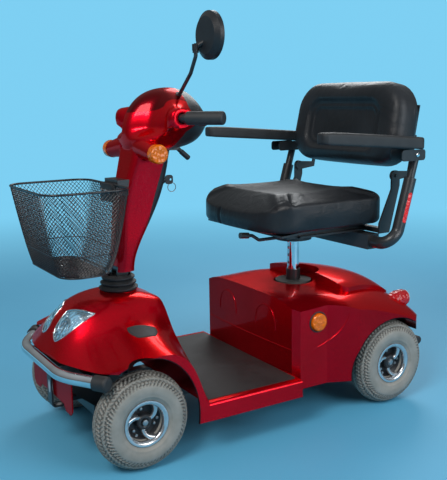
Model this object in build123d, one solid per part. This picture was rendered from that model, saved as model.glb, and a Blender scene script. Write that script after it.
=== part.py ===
"""Four-wheel mobility scooter, facing -Y, with +X on the rider's left and +Z up.

The origin is on the ground under the middle of the bounding box. Lengths are millimetres.
Places along the scooter are given as distances aft of the front axle.
"""
import os
from math import cos, radians, sin, sqrt, tan

from build123d import *

# ---------------------------------------------------------------- wheels and stance
FRONT_AXLE_Y = -394.0
WHEELBASE = 830.0
WHEEL_RADIUS = 130.0
TYRE_WIDTH = 84.0
FRONT_HALF_TRACK = 238.0
REAR_HALF_TRACK = 249.0
BEAD_RADIUS = 62.0
RIM_LIP = 36.0
RIM_RING_WIDTH = 12.0
RIM_WEB = 6.0
HUB_RADIUS = 22.0
STUB_RADIUS = 8.0
DRIVE_SHAFT_RADIUS = 10.0
TYRE_GROOVE = 2.5

# ---------------------------------------------------------------- fits and clearances
RUNNING = 0.05
SEAT_GAP = 0.3
FACE_GAP = 0.2

# ---------------------------------------------------------------- steering
RAKE = 10.2
STEER_LIMIT = 30.0
KINGPIN_X = 185.0
KINGPIN_RADIUS = 7.0
KNUCKLE_RADIUS = 13.0
YOKE_GAP = 64.0
YOKE_PLATE = 8.0
STEER_ARM = 52.0
TIE_ROD_HEIGHT = 36.0
TIE_ROD_RADIUS = 5.0
TIE_EYE_RADIUS = 11.0
TIE_EYE_THICKNESS = 5.6
BALL_CLEARANCE = 3.0
STEM_RADIUS = 15.0
HEAD_TUBE_RADIUS = 25.0
HEAD_TUBE_START = 70.0
HEAD_TUBE_LENGTH = 145.0
TILT_PIVOT_UP = 354.0
TILT_PIN_RADIUS = 6.0
CLEVIS_RADIUS = 16.0
CLEVIS_TONGUE = 31.4

# ---------------------------------------------------------------- frame
BEAM_SIZE = 36.0
RAIL_X = 95.0
RAIL_WIDTH = 30.0
RAIL_HEIGHT = 28.0
RAIL_TOP = 140.0
FRAME_WALL = 3.0
FRONT_CROSS_AFT = -60.0
REAR_CROSS_AFT = 661.0
REAR_CROSS_LENGTH = 42.0
UPPER_RAIL_TOP = 180.0
UPPER_RAIL_END_AFT = 962.0

# ---------------------------------------------------------------- body
SKIN = 4.0
NOSE_FLOOR = 100.0
NOSE_FRONT_EDGE = 277.0
NOSE_HALF_WIDTH = 288.0
NOSE_REAR = 178.0
DECK_TOP = 148.0
DECK_BOTTOM = 98.0
DECK_HALF_WIDTH = 285.0
DECK_START_AFT = NOSE_REAR + SEAT_GAP
MAT_THICKNESS = 4.0
BODY_FLOOR = 105.0
LENS_THICKNESS = 3.0

# ---------------------------------------------------------------- bumper
BUMPER_HEIGHT = 255.0
BUMPER_RADIUS = 16.0
BUMPER_FRONT_AFT = -176.0
BUMPER_BEND_X = 150.0
BUMPER_END = (262.0, -105.0)
BUMPER_CAP_RADIUS = 20.0
BUMPER_CAP_LENGTH = 40.0
BRACKET_X = 98.0
LOOP_FRONT_AFT = -156.0
LOOP_REAR_AFT = -118.0
LOOP_HALF_WIDTH = 15.0
LOOP_STRAP = 5.0
LOOP_BOTTOM = 121.0
LOOP_TOP = 236.0
PANEL_CLEARANCE = 2.5
PANEL_THICKNESS = 3.0
APRON_HALF_WIDTH = 150.0
APRON_BOTTOM = 140.0
APRON_MIDDLE = 156.0

# ---------------------------------------------------------------- seat
POST_AFT = 661.0
POST_RADIUS = 19.0
SOCKET_RADIUS = 22.5
SOCKET_TOP = 398.0
POST_BOTTOM = 215.0
POST_TOP = 489.0
COLLAR_RADIUS = 57.0
COLLAR_BASE = 350.0
COLLAR_THICKNESS = 14.0
PAN_TOP = 550.0
CUSHION_HALF_WIDTH = 230.0
CUSHION_FRONT_AFT = 428.0
CUSHION_CORNER = 82.0
CUSHION_BOW = 7.0
CUSHION_REAR_AFT = 850.0
BACKREST_HINGE = (862.0, 700.0)
BACKREST_HALF_WIDTH = 258.0
BACKREST_LEAN = 11.0
BACKREST_THICKNESS = 98.0
BACKREST_FOOT_AFT = 871.0
BACKREST_CORNER = 78.0
BACKREST_BOTTOM = 722.0
BACKREST_HEIGHT = 262.0
ARM_X = 301.0
ARM_TUBE_RADIUS = 18.0
ARM_AFT = 780.0
ARM_HEIGHT = 508.0
ARM_HINGE = (884.0, 766.0)
ARM_HINGE_RADIUS = 4.0
PAD_WIDTH = 50.0
PAD_THICKNESS = 36.0

# ---------------------------------------------------------------- tiller
COVER_WALL = 3.0
GRIP_RADIUS = 17.5
BAR_RADIUS = 11.0
BAR_AFT = 174.0
BAR_HEIGHT = 889.0
BAR_BEND_X = 184.0
GRIP_TIP = (272.0, 238.0)
MIRROR_RADIUS = 61.0
BASKET_WALL = 3.0


# ================================================================ helpers
def aft(distance):
    """Row-frame Y of a point this far behind the front axle."""
    return FRONT_AXLE_Y + distance


def block(x_range, aft_range, z_range):
    """Box between two x, two aft and two z values."""
    (x0, x1), (a0, a1), (z0, z1) = x_range, aft_range, z_range
    centre = Pos((x0 + x1) / 2, aft((a0 + a1) / 2), (z0 + z1) / 2)
    return centre * Box(abs(x1 - x0), abs(a1 - a0), abs(z1 - z0))


def point(x, distance, z):
    """Row-frame point from x, distance aft and z."""
    return Vector(x, aft(distance), z)


def rod(start, end, radius):
    """Solid cylinder from one point to another."""
    start, end = Vector(start), Vector(end)
    return extrude(Plane(origin=start, z_dir=end - start) * Circle(radius), (end - start).length)


def pipe(start, end, radius, bore):
    """Hollow cylinder from one point to another."""
    start, end = Vector(start), Vector(end)
    ring = Circle(radius) - Circle(bore)
    return extrude(Plane(origin=start, z_dir=end - start) * ring, (end - start).length)


def swept_rod(points, bend_radii, radius):
    """Solid bar that follows straight runs joined by tangent arcs."""
    path = FilletPolyline(*points, radius=bend_radii)
    section = Plane(origin=path @ 0, z_dir=path % 0) * Circle(radius)
    return sweep(section, path)


def mirrored(shape):
    """The same shape on the other side of the scooter."""
    return mirror(shape, about=Plane.YZ)


def both(shape):
    """A shape and its mirror image, as separate solids."""
    return [shape, mirrored(shape)]


def side_prism(outline, x_range):
    """Prism across x of an outline given as (aft, z) points."""
    x0, x1 = x_range
    corners = [point(x0, distance, z) for distance, z in outline]
    face = make_face(Polyline(*corners, close=True))
    return extrude(face, x1 - x0, dir=(1, 0, 0))


def crowned_section(distance, crown, floor, inset=0.0):
    """Closed section across the scooter: a smooth crown over a flat floor.

    crown lists (x, z) from the middle to the right edge.
    """
    edge_x = crown[-1][0]
    scale = (edge_x - inset) / edge_x
    half = [(x * scale, z - inset) for x, z in crown]
    whole = [(-x, z) for x, z in reversed(half[1:])] + half
    top = Spline(*[point(x, distance, z) for x, z in whole])
    low_right = point(half[-1][0], distance, floor)
    low_left = point(-half[-1][0], distance, floor)
    sides = Polyline(top @ 1, low_right, low_left, top @ 0)
    return make_face([top, sides])


def crowned_loft(stations, floor, inset=0.0):
    """Solid through crowned sections, each (aft, crown)."""
    return loft([crowned_section(distance, crown, floor, inset) for distance, crown in stations])


def wheel_arch(centre, reach, height, x_range):
    """Elliptical cylinder across x, as big as a wheel opening."""
    plane = Plane(origin=point(x_range[0], *centre), x_dir=(0, 1, 0), z_dir=(1, 0, 0))
    return extrude(plane * Ellipse(reach, height), x_range[1] - x_range[0])


def steer_point(along, back=0.0, x=0.0):
    """Point on the raked steering axis, or off it at right angles towards the rear."""
    lean = radians(RAKE)
    distance = along * sin(lean) + back * cos(lean)
    height = WHEEL_RADIUS + along * cos(lean) - back * sin(lean)
    return point(x, distance, height)


def save(name, shapes):
    """Write one node's solids to parts/."""
    items = shapes if isinstance(shapes, list) else [shapes]
    solids = [solid for item in items for solid in item.solids()]
    export_step(Compound(children=solids), f"parts/{name}.step")


# ================================================================ wheels
TYRE_SECTION = TYRE_WIDTH / 2
TYRE_CIRCLE = WHEEL_RADIUS - TYRE_SECTION


def tyre():
    """Pneumatic tyre about the X axis: round section, open bead and two tread grooves."""
    section = Pos(0, TYRE_CIRCLE) * Circle(TYRE_SECTION)
    section -= Rectangle(2 * TYRE_WIDTH, 2 * BEAD_RADIUS)
    for x in (-TYRE_SECTION / 4, TYRE_SECTION / 4):
        section -= Pos(x, WHEEL_RADIUS) * Rectangle(TYRE_GROOVE, 3 * TYRE_GROOVE)
    return revolve(section, Axis.X)


def rim(bore, hub_inboard):
    """Cast rim about the X axis: barrel, polished ring, web, hub and three spokes."""
    outer = BEAD_RADIUS - 0.1
    half_barrel = sqrt(TYRE_SECTION**2 - (TYRE_CIRCLE - BEAD_RADIUS)**2)
    inner = outer - RIM_RING_WIDTH / 2
    section = Polyline(
        (-half_barrel, inner), (-half_barrel, outer), (RIM_LIP, outer),
        (RIM_LIP, outer - RIM_RING_WIDTH + 2), (RIM_LIP - 2, outer - RIM_RING_WIDTH),
        (RIM_LIP - 9, outer - RIM_RING_WIDTH), (RIM_LIP - 15, inner), (RIM_WEB / 2, inner),
        (RIM_WEB / 2, HUB_RADIUS), (RIM_LIP / 2, HUB_RADIUS), (RIM_LIP / 2, bore),
        (-hub_inboard, bore), (-hub_inboard, HUB_RADIUS), (-RIM_WEB / 2, HUB_RADIUS),
        (-RIM_WEB / 2, inner), close=True)
    body = revolve(make_face(section), Axis.X)
    tip = outer - RIM_RING_WIDTH / 2
    spoke = Polygon((HUB_RADIUS - 4, -8), (tip, -14), (tip, 4), (HUB_RADIUS - 4, 7), align=None)
    start = Plane(origin=(RIM_WEB / 2 - 1, 0, 0), x_dir=(0, 1, 0), z_dir=(1, 0, 0))
    for turn in (0, 120, 240):
        body += Rot(turn + 20, 0, 0) * extrude(start * spoke, RIM_LIP - 14)
    return body


def wheel(name, x, distance, bore, hub_inboard):
    """Tyre and rim of one corner, outboard side away from the middle."""
    for part, shape in (("tyre", tyre()), ("rim", rim(bore, hub_inboard))):
        if x < 0:
            shape = mirrored(shape)
        save(f"{name}_{part}", Pos(x, aft(distance), WHEEL_RADIUS) * shape)


def anti_tip_wheels():
    """Two small rollers on one axle behind the drive wheels."""
    axle = rod(point(-ROLLER_X - 16, ROLLER_AFT, ROLLER_HEIGHT),
               point(ROLLER_X + 16, ROLLER_AFT, ROLLER_HEIGHT), ROLLER_AXLE)
    rollers = []
    for x in (-ROLLER_X, ROLLER_X):
        rollers.append(rod(point(x - 11, ROLLER_AFT, ROLLER_HEIGHT),
                           point(x + 11, ROLLER_AFT, ROLLER_HEIGHT), ROLLER_RADIUS))
    return axle + rollers[0] + rollers[1]


ROLLER_X = 70.0
ROLLER_AFT = 925.0
ROLLER_HEIGHT = 58.0
ROLLER_RADIUS = 28.0
ROLLER_AXLE = 6.0


# ================================================================ chassis
def box_member(x_range, aft_range, z_range, run):
    """Hollow box section along "x", "y" or "z"."""
    outer = block(x_range, aft_range, z_range)
    shrink = [FRAME_WALL, FRAME_WALL, FRAME_WALL]
    shrink["xyz".index(run)] = -1.0
    ranges = []
    for (low, high), wall in zip((x_range, aft_range, z_range), shrink):
        ranges.append((low + wall, high - wall))
    return outer - block(*ranges)


def axle_beam():
    """Front axle beam with a fork and kingpin at each end."""
    half = BEAM_SIZE / 2
    inner_end = KINGPIN_X - 25
    beam = block((-inner_end, inner_end), (-half, half), (WHEEL_RADIUS - half, WHEEL_RADIUS + half))
    for side in (-1, 1):
        x = side * KINGPIN_X
        reach = YOKE_GAP / 2 + YOKE_PLATE
        beam += block((side * (inner_end - 10), side * inner_end), (-14, 14),
                      (WHEEL_RADIUS - reach, WHEEL_RADIUS + reach))
        for low in (WHEEL_RADIUS - reach, WHEEL_RADIUS + YOKE_GAP / 2):
            ear = block((side * inner_end, x), (-14, 14), (low, low + YOKE_PLATE))
            ear += rod(point(x, 0, low), point(x, 0, low + YOKE_PLATE), 14)
            beam += ear
        beam += rod(point(x, 0, WHEEL_RADIUS - reach - 4), point(x, 0, WHEEL_RADIUS + reach + 4),
                    KINGPIN_RADIUS)
    return beam


def head_tube():
    """Raked head tube on its gusset, bored for the steering stem."""
    start = steer_point(HEAD_TUBE_START)
    end = steer_point(HEAD_TUBE_START + HEAD_TUBE_LENGTH)
    top = HEAD_TUBE_START + HEAD_TUBE_LENGTH
    beam_top = WHEEL_RADIUS + BEAM_SIZE / 2
    gusset = side_prism([(-BEAM_SIZE / 2, beam_top), (-14.5, beam_top), (-14.5, start.Z + 4),
                         (start.Y - FRONT_AXLE_Y - 8, start.Z + 4), (end.Y - FRONT_AXLE_Y, end.Z - 8),
                         (end.Y - FRONT_AXLE_Y - 34, end.Z - 14), (-34, beam_top + 40)], (-12, 12))
    tube = rod(start, end, HEAD_TUBE_RADIUS)
    bore = rod(steer_point(HEAD_TUBE_START - 20), steer_point(top + 10), STEM_RADIUS + RUNNING)
    return (gusset + tube) - bore


def tow_loop():
    """Flat steel strap bent into a U that hangs behind the bumper, on a foot from the cross member."""
    front, rear = LOOP_FRONT_AFT, LOOP_REAR_AFT
    bend = 6.0
    outline = [(front, LOOP_TOP), (front, LOOP_BOTTOM + bend), (front + bend, LOOP_BOTTOM),
               (rear - bend, LOOP_BOTTOM), (rear, LOOP_BOTTOM + bend), (rear, RAIL_TOP + 40)]
    path = FilletPolyline(*[point(0, a, z) for a, z in outline], radius=5.0)
    strap = Rectangle(2 * LOOP_HALF_WIDTH, LOOP_STRAP)
    section = Plane(origin=path @ 0, x_dir=(1, 0, 0), z_dir=path % 0) * strap
    foot = block((-LOOP_HALF_WIDTH, LOOP_HALF_WIDTH), (rear + LOOP_STRAP / 2, FRONT_CROSS_AFT - RAIL_WIDTH / 2),
                 (RAIL_TOP - 12, RAIL_TOP))
    return sweep(section, path) + foot


def chassis_frame():
    """Welded ladder frame: rails, cross members, axle beam, head tube and brackets."""
    half_rail = RAIL_WIDTH / 2
    low = RAIL_TOP - RAIL_HEIGHT
    beam_half = BEAM_SIZE / 2
    rear_start = REAR_CROSS_AFT - REAR_CROSS_LENGTH / 2
    rear_end = REAR_CROSS_AFT + REAR_CROSS_LENGTH / 2
    inside = RAIL_X - half_rail
    outside = RAIL_X + half_rail
    members = [axle_beam(), head_tube(), tow_loop()]
    members.append(box_member((-outside, outside),
                              (FRONT_CROSS_AFT - half_rail, FRONT_CROSS_AFT + half_rail), (low, RAIL_TOP), "x"))
    for side in (-1, 1):
        rail_x = tuple(sorted((side * inside, side * outside)))
        members.append(box_member(rail_x, (FRONT_CROSS_AFT + half_rail, -beam_half), (low, RAIL_TOP), "y"))
        members.append(box_member(rail_x, (beam_half, rear_end), (low, RAIL_TOP), "y"))
        members.append(box_member(rail_x, (rear_start, rear_start + half_rail),
                                  (RAIL_TOP, UPPER_RAIL_TOP - RAIL_HEIGHT), "z"))
        upper = box_member(rail_x, (rear_start, UPPER_RAIL_END_AFT),
                           (UPPER_RAIL_TOP - RAIL_HEIGHT, UPPER_RAIL_TOP), "y")
        members.append(upper - rear_bar(REAR_BAR_RADIUS))
        members.append(bumper_bracket(side))
        members.append(anti_tip_bracket(side))
    members.append(box_member((-inside, inside), (rear_start, rear_end), (low, RAIL_TOP), "x"))
    members.append(box_member((-inside, inside), (MID_CROSS_AFT, MID_CROSS_AFT + RAIL_WIDTH),
                              (low, RAIL_TOP), "x"))
    members.append(rear_bar(REAR_BAR_RADIUS))
    return members


MID_CROSS_AFT = 300.0
REAR_BAR_X = 240.0
REAR_BAR_AFT = 971.0
REAR_BAR_HEIGHT = 168.0
REAR_BAR_RADIUS = 11.0
BUFFER_RADIUS = 13.0


def rear_bar(radius):
    """Round bar across the back that carries the rear buffers."""
    return rod(point(-REAR_BAR_X, REAR_BAR_AFT, REAR_BAR_HEIGHT),
               point(REAR_BAR_X, REAR_BAR_AFT, REAR_BAR_HEIGHT), radius)


def bumper_bracket(side):
    """Plate that rises forward from the rail's front end to the bumper tube."""
    x_range = tuple(sorted((side * BRACKET_X, side * (BRACKET_X + 8))))
    cross_half = RAIL_WIDTH / 2
    panel_aft = LOOP_FRONT_AFT + LOOP_STRAP / 2 + PANEL_CLEARANCE + PANEL_THICKNESS + SEAT_GAP
    outline = [(FRONT_CROSS_AFT + cross_half, RAIL_TOP), (FRONT_CROSS_AFT - cross_half, RAIL_TOP),
               (panel_aft, RAIL_TOP + 60), (panel_aft, BUMPER_HEIGHT - 10), (BUMPER_FRONT_AFT + 8, BUMPER_HEIGHT - 10),
               (BUMPER_FRONT_AFT + 8, BUMPER_HEIGHT + 10), (-130, BUMPER_HEIGHT + 10),
               (FRONT_CROSS_AFT + cross_half, RAIL_TOP + 35)]
    return side_prism(outline, x_range) - bumper_bar(BUMPER_RADIUS + SEAT_GAP)


def anti_tip_bracket(side):
    """Hanger plate that carries one end of the roller axle."""
    x = side * (ROLLER_X + 14)
    x_range = tuple(sorted((x, x + side * 6)))
    plate = side_prism([(ROLLER_AFT - 14, ROLLER_HEIGHT), (ROLLER_AFT + 14, ROLLER_HEIGHT),
                        (ROLLER_AFT + 14, 80.0), (ROLLER_AFT + 6, UPPER_RAIL_TOP - RAIL_HEIGHT),
                        (ROLLER_AFT - 36, UPPER_RAIL_TOP - RAIL_HEIGHT)], x_range)
    plate += rod(point(x_range[0], ROLLER_AFT, ROLLER_HEIGHT), point(x_range[1], ROLLER_AFT, ROLLER_HEIGHT), 14)
    return plate - rod(point(x_range[0] - 1, ROLLER_AFT, ROLLER_HEIGHT),
                       point(x_range[1] + 1, ROLLER_AFT, ROLLER_HEIGHT), ROLLER_AXLE + RUNNING)


def seat_post_socket():
    """Steel socket on the rear cross member, bored for the seat post."""
    base = block((-40, 40), (POST_AFT - 21, POST_AFT + 21), (RAIL_TOP, RAIL_TOP + 6))
    tube = rod(point(0, POST_AFT, RAIL_TOP + 6), point(0, POST_AFT, SOCKET_TOP), SOCKET_RADIUS)
    bore = rod(point(0, POST_AFT, RAIL_TOP + 10), point(0, POST_AFT, SOCKET_TOP + 1), POST_RADIUS + RUNNING)
    return (base + tube) - bore


def post_collar():
    """Rubber ring that seals the body round the socket."""
    return pipe(point(0, POST_AFT, COLLAR_BASE + FACE_GAP),
                point(0, POST_AFT, COLLAR_BASE + COLLAR_THICKNESS), COLLAR_RADIUS, SOCKET_RADIUS + 0.1)


def transaxle():
    """Drive unit: gear case, axle tubes, drive shafts and motor."""
    rear = WHEELBASE
    case = block((-52, 52), (rear - 50, rear + 50), (WHEEL_RADIUS - 48, WHEEL_RADIUS + 48))
    case = fillet(case.edges().filter_by(Axis.X), 24)
    motor = rod(point(0, POST_AFT + 34, WHEEL_RADIUS), point(0, rear - 50, WHEEL_RADIUS), 40)
    unit = case + motor
    tube_end = REAR_HALF_TRACK - RIM_LIP - 24
    for side in (-1, 1):
        unit += rod(point(side * 52, rear, WHEEL_RADIUS), point(side * tube_end, rear, WHEEL_RADIUS), 20)
        unit += rod(point(side * tube_end, rear, WHEEL_RADIUS),
                    point(side * (REAR_HALF_TRACK + RIM_LIP / 2 + 6), rear, WHEEL_RADIUS), DRIVE_SHAFT_RADIUS)
        unit += block((side * (RAIL_X - 15), side * (RAIL_X + 15)), (rear - 14, rear + 14),
                      (WHEEL_RADIUS + 15, UPPER_RAIL_TOP - RAIL_HEIGHT))
    return unit


def battery_boxes():
    """Two sealed batteries side by side on the rails."""
    pair = []
    for side in (-1, 1):
        case = block((side * 6, side * 196), (500, 625), (RAIL_TOP, RAIL_TOP + 158))
        lid = block((side * 10, side * 192), (504, 621), (RAIL_TOP + 158, RAIL_TOP + 166))
        terminals = [rod(point(side * x, 520, RAIL_TOP + 166), point(side * x, 520, RAIL_TOP + 176), 6)
                     for x in (40, 160)]
        pair.append(case + lid + terminals[0] + terminals[1])
    return pair


def controller():
    """Finned power controller across the upper rails."""
    case = block((-108, 108), (722, 792), (UPPER_RAIL_TOP, UPPER_RAIL_TOP + 22))
    for row in range(7):
        case += block((-104, 104), (728 + 9 * row, 732 + 9 * row), (UPPER_RAIL_TOP + 22, UPPER_RAIL_TOP + 32))
    return case


# ================================================================ steering
TIE_ALONG = (TIE_ROD_HEIGHT + STEER_ARM * sin(radians(RAKE))) / cos(radians(RAKE))


def steering_stem():
    """Stem with its pitman arm below and clevis above."""
    arm_low = TIE_ALONG + TIE_EYE_THICKNESS + 0.6
    arm_high = arm_low + 8
    stem = rod(steer_point(arm_low), steer_point(TILT_PIVOT_UP - 26), STEM_RADIUS)
    top = HEAD_TUBE_START + HEAD_TUBE_LENGTH
    stem += rod(steer_point(top + SEAT_GAP), steer_point(top + 8), STEM_RADIUS + 7)
    plane = Plane(origin=steer_point(arm_low), x_dir=(1, 0, 0), z_dir=steer_point(1) - steer_point(0))
    arm = extrude(plane * (Pos(0, STEER_ARM / 2) * Rectangle(26, STEER_ARM)), arm_high - arm_low)
    stem += arm + rod(steer_point(arm_low, STEER_ARM), steer_point(arm_high, STEER_ARM), 13)
    stem += rod(steer_point(arm_low), steer_point(arm_high), 20)
    stem += rod(steer_point(TIE_ALONG - TIE_EYE_THICKNESS - 4, STEER_ARM),
                steer_point(arm_high, STEER_ARM), TIE_ROD_RADIUS)
    tongue = CLEVIS_TONGUE / 2 + RUNNING
    for side in (-1, 1):
        x_range = sorted((side * tongue, side * (tongue + 8)))
        pivot_aft = TILT_PIVOT_UP * sin(radians(RAKE))
        pivot_z = WHEEL_RADIUS + TILT_PIVOT_UP * cos(radians(RAKE))
        ear = rod(point(x_range[0], pivot_aft, pivot_z), point(x_range[1], pivot_aft, pivot_z), CLEVIS_RADIUS)
        ear += extrude(Plane(origin=steer_point(TILT_PIVOT_UP - 34, 0, x_range[0]), x_dir=(1, 0, 0),
                             z_dir=steer_point(1) - steer_point(0))
                       * (Pos(4, 0) * Rectangle(8, 2 * CLEVIS_RADIUS)), 34)
        stem += ear
    stem += rod(steer_point(TILT_PIVOT_UP - 34), steer_point(TILT_PIVOT_UP - 24), tongue + 8)
    stem += rod(steer_point(TILT_PIVOT_UP, 0, -tongue - 8), steer_point(TILT_PIVOT_UP, 0, tongue + 8),
                TILT_PIN_RADIUS)
    return stem


def knuckle(side):
    """Steering knuckle: barrel on the kingpin, stub axle, arm and ball stud."""
    x = side * KINGPIN_X
    half = YOKE_GAP / 2 - SEAT_GAP
    body = rod(point(x, 0, WHEEL_RADIUS - half), point(x, 0, WHEEL_RADIUS + half), KNUCKLE_RADIUS)
    body += rod(point(x, 0, WHEEL_RADIUS), point(side * (FRONT_HALF_TRACK + RIM_LIP / 2 + 6), 0, WHEEL_RADIUS),
                STUB_RADIUS)
    arm_top = WHEEL_RADIUS + TIE_ROD_HEIGHT - TIE_EYE_THICKNESS - BALL_CLEARANCE
    body += block((x - 8, x + 8), (0, STEER_ARM), (arm_top - 12, arm_top))
    body += rod(point(x, STEER_ARM, arm_top - 12), point(x, STEER_ARM, arm_top), 10)
    body += rod(point(x, STEER_ARM, arm_top), point(x, STEER_ARM, WHEEL_RADIUS + TIE_ROD_HEIGHT + 12),
                TIE_ROD_RADIUS)
    return body - rod(point(x, 0, 0), point(x, 0, 2 * WHEEL_RADIUS), KINGPIN_RADIUS + RUNNING)


def tie_rod(side):
    """Tie rod from the pitman pin to one knuckle's stud."""
    offset = -side * (TIE_EYE_THICKNESS / 2 + 0.2)
    half = TIE_EYE_THICKNESS / 2
    inner = steer_point(TIE_ALONG + offset, STEER_ARM)
    outer = point(side * KINGPIN_X, STEER_ARM, WHEEL_RADIUS + TIE_ROD_HEIGHT)
    direction = (outer - inner).normalized()
    eye = rod(steer_point(TIE_ALONG + offset - half, STEER_ARM),
              steer_point(TIE_ALONG + offset + half, STEER_ARM), TIE_EYE_RADIUS)
    far_eye = rod(outer - Vector(0, 0, TIE_EYE_THICKNESS), outer + Vector(0, 0, TIE_EYE_THICKNESS), TIE_EYE_RADIUS)
    shank = rod(inner + direction * (TIE_EYE_RADIUS + 10), outer - direction * (TIE_EYE_RADIUS - 2), TIE_ROD_RADIUS)
    neck = rod(inner + direction * 8, inner + direction * (TIE_EYE_RADIUS + 12), half)
    whole = eye + far_eye + shank + neck
    whole -= rod(steer_point(TIE_ALONG - 20, STEER_ARM), steer_point(TIE_ALONG + 20, STEER_ARM),
                 TIE_ROD_RADIUS + RUNNING)
    return whole - rod(outer - Vector(0, 0, 20), outer + Vector(0, 0, 20), TIE_ROD_RADIUS + 1.2)


BOOT_BASE = 418.0
BOOT_TOP = 462.0
BOOT_RADIUS = 54.0
BOOT_RINGS = 3


def steering_boot():
    """Rubber bellows round the stem, three folds narrowing upwards."""
    centre_aft = (BOOT_BASE - WHEEL_RADIUS) * tan(radians(RAKE)) + 4
    pitch = (BOOT_TOP - BOOT_BASE) / BOOT_RINGS
    inner = STEM_RADIUS + CLEVIS_RADIUS + 4
    outline = [(inner, 0)]
    for ring in range(BOOT_RINGS):
        outer = BOOT_RADIUS - 4 * ring
        base = ring * pitch
        outline += [(outer - 6, base), (outer, base + pitch * 0.35), (outer, base + pitch * 0.6)]
    outline += [(BOOT_RADIUS - 4 * BOOT_RINGS - 4, BOOT_TOP - BOOT_BASE), (inner, BOOT_TOP - BOOT_BASE)]
    face = make_face(Polyline(*[(r, 0, h) for r, h in outline], close=True))
    return Pos(0, aft(centre_aft), BOOT_BASE) * revolve(face, Axis.Z)


# ================================================================ front body
NOSE_STATIONS = [
    (-195.0, [(0, 262), (60, 256), (120, 244), (200, 236), (NOSE_HALF_WIDTH, 232)]),
    (-150.0, [(0, 322), (60, 316), (120, 290), (200, 262), (NOSE_HALF_WIDTH, 256)]),
    (-90.0, [(0, 394), (68, 382), (120, 336), (200, 296), (NOSE_HALF_WIDTH, 278)]),
    (-20.0, [(0, 414), (80, 404), (122, 360), (200, 320), (NOSE_HALF_WIDTH, 298)]),
    (57.0, [(0, 417), (82, 408), (122, 368), (200, 332), (NOSE_HALF_WIDTH, 306)]),
    (110.0, [(0, 409), (82, 400), (122, 356), (200, 312), (NOSE_HALF_WIDTH, 284)]),
    (150.0, [(0, 394), (82, 384), (122, 330), (200, 270), (NOSE_HALF_WIDTH, 214)]),
    (180.0, [(0, 380), (82, 368), (122, 304), (200, 222), (NOSE_HALF_WIDTH, 150)]),
]
ARCH_CENTRE = (6.0, WHEEL_RADIUS)
ARCH_REACH = 140.0
ARCH_HEIGHT = 173.0
STEM_HOLE = 33.0


def nose_plan(inset=0.0):
    """Plan outline of the nose as a tall prism: bowed front, straight sides, flat rear."""
    half = NOSE_HALF_WIDTH - inset
    rear = NOSE_REAR - inset
    side_start = -20.0
    front = -172.0 + inset
    bow = Spline(point(half, side_start, 0), point(half - 34, -100, 0), point(150, front + 16, 0),
                 point(0, front, 0), point(-150, front + 16, 0), point(-half + 34, -100, 0),
                 point(-half, side_start, 0), tangents=[(0, -1, 0), (0, 1, 0)])
    back = Polyline(bow @ 1, point(-half, rear, 0), point(half, rear, 0), bow @ 0)
    return extrude(make_face([bow, back]), 500)


def nose_block(inset=0.0):
    """Whole form of the nose, smaller by inset on every outer face."""
    form = crowned_loft(NOSE_STATIONS, NOSE_FLOOR - 20, inset) & nose_plan(inset)
    sloped_rear = side_prism([(150 - inset, 500), (150 - inset, 380), (NOSE_REAR - inset, 130), (NOSE_REAR - inset, 0),
                              (400, 0), (400, 500)], (-400, 400))
    return form - sloped_rear


def lamp_window(side, grow=0.0):
    """Almond outline of one headlight, as a prism along Y through the nose front."""
    tip = (90 + grow, 386 + grow)
    inner_top = (20 - grow, 386 + grow)
    inner_low = (19 - grow, 344)
    bottom = (50, 314 - grow)
    outline = [ThreePointArc((inner_top[0], 0, inner_top[1]), (56, 0, 393 + grow), (tip[0], 0, tip[1])),
               ThreePointArc((tip[0], 0, tip[1]), (84 + grow, 0, 344), (bottom[0], 0, bottom[1])),
               ThreePointArc((bottom[0], 0, bottom[1]), (29 - grow / 2, 0, 324 - grow / 2),
                             (inner_low[0], 0, inner_low[1])),
               Line((inner_low[0], 0, inner_low[1]), (inner_top[0], 0, inner_top[1]))]
    face = make_face(outline)
    prism = Pos(0, aft(-10), 0) * extrude(face, 200, dir=(0, -1, 0))
    return prism if side > 0 else mirrored(prism)


def nose_fairing():
    """Moulded nose: thin shell with wheel arches, lamp windows and a hole for the stem."""
    shell = nose_block() - nose_block(SKIN)
    shell -= block((-400, 400), (-400, -60), (0, NOSE_FRONT_EDGE))
    shell -= block((-400, 400), (-400, 400), (0, NOSE_FLOOR))
    shell -= block((-DECK_HALF_WIDTH + 45, DECK_HALF_WIDTH - 45), (-400, 400), (0, DECK_TOP + 6))
    for low, high in ((NOSE_HALF_WIDTH - 60, 400), (-400, -NOSE_HALF_WIDTH + 60)):
        shell -= wheel_arch(ARCH_CENTRE, ARCH_REACH, ARCH_HEIGHT, (low, high))
    hole_aft = (BOOT_BASE - WHEEL_RADIUS) * tan(radians(RAKE))
    shell += rod(point(0, hole_aft + 4, BOOT_BASE - 12), point(0, hole_aft + 4, BOOT_BASE - SEAT_GAP), BOOT_RADIUS - 4)
    shell -= rod(point(0, hole_aft, 300), point(0, hole_aft, 500), STEM_HOLE)
    shell -= rod(point(0, hole_aft + 4, BOOT_BASE - SEAT_GAP), point(0, hole_aft + 4, 500), BOOT_RADIUS + 1)
    for side in (-1, 1):
        shell -= lamp_window(side, SEAT_GAP)
    return largest(shell)


def largest(shape):
    """The biggest solid of a cut shape."""
    return max(shape.solids(), key=lambda solid: solid.volume)


def headlight_lenses():
    """Clear lenses that follow the nose surface."""
    outer = nose_block()
    behind = Pos(0, LENS_THICKNESS, 0) * outer
    lens = largest((outer & lamp_window(1)) - behind)
    return both(lens)


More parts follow.
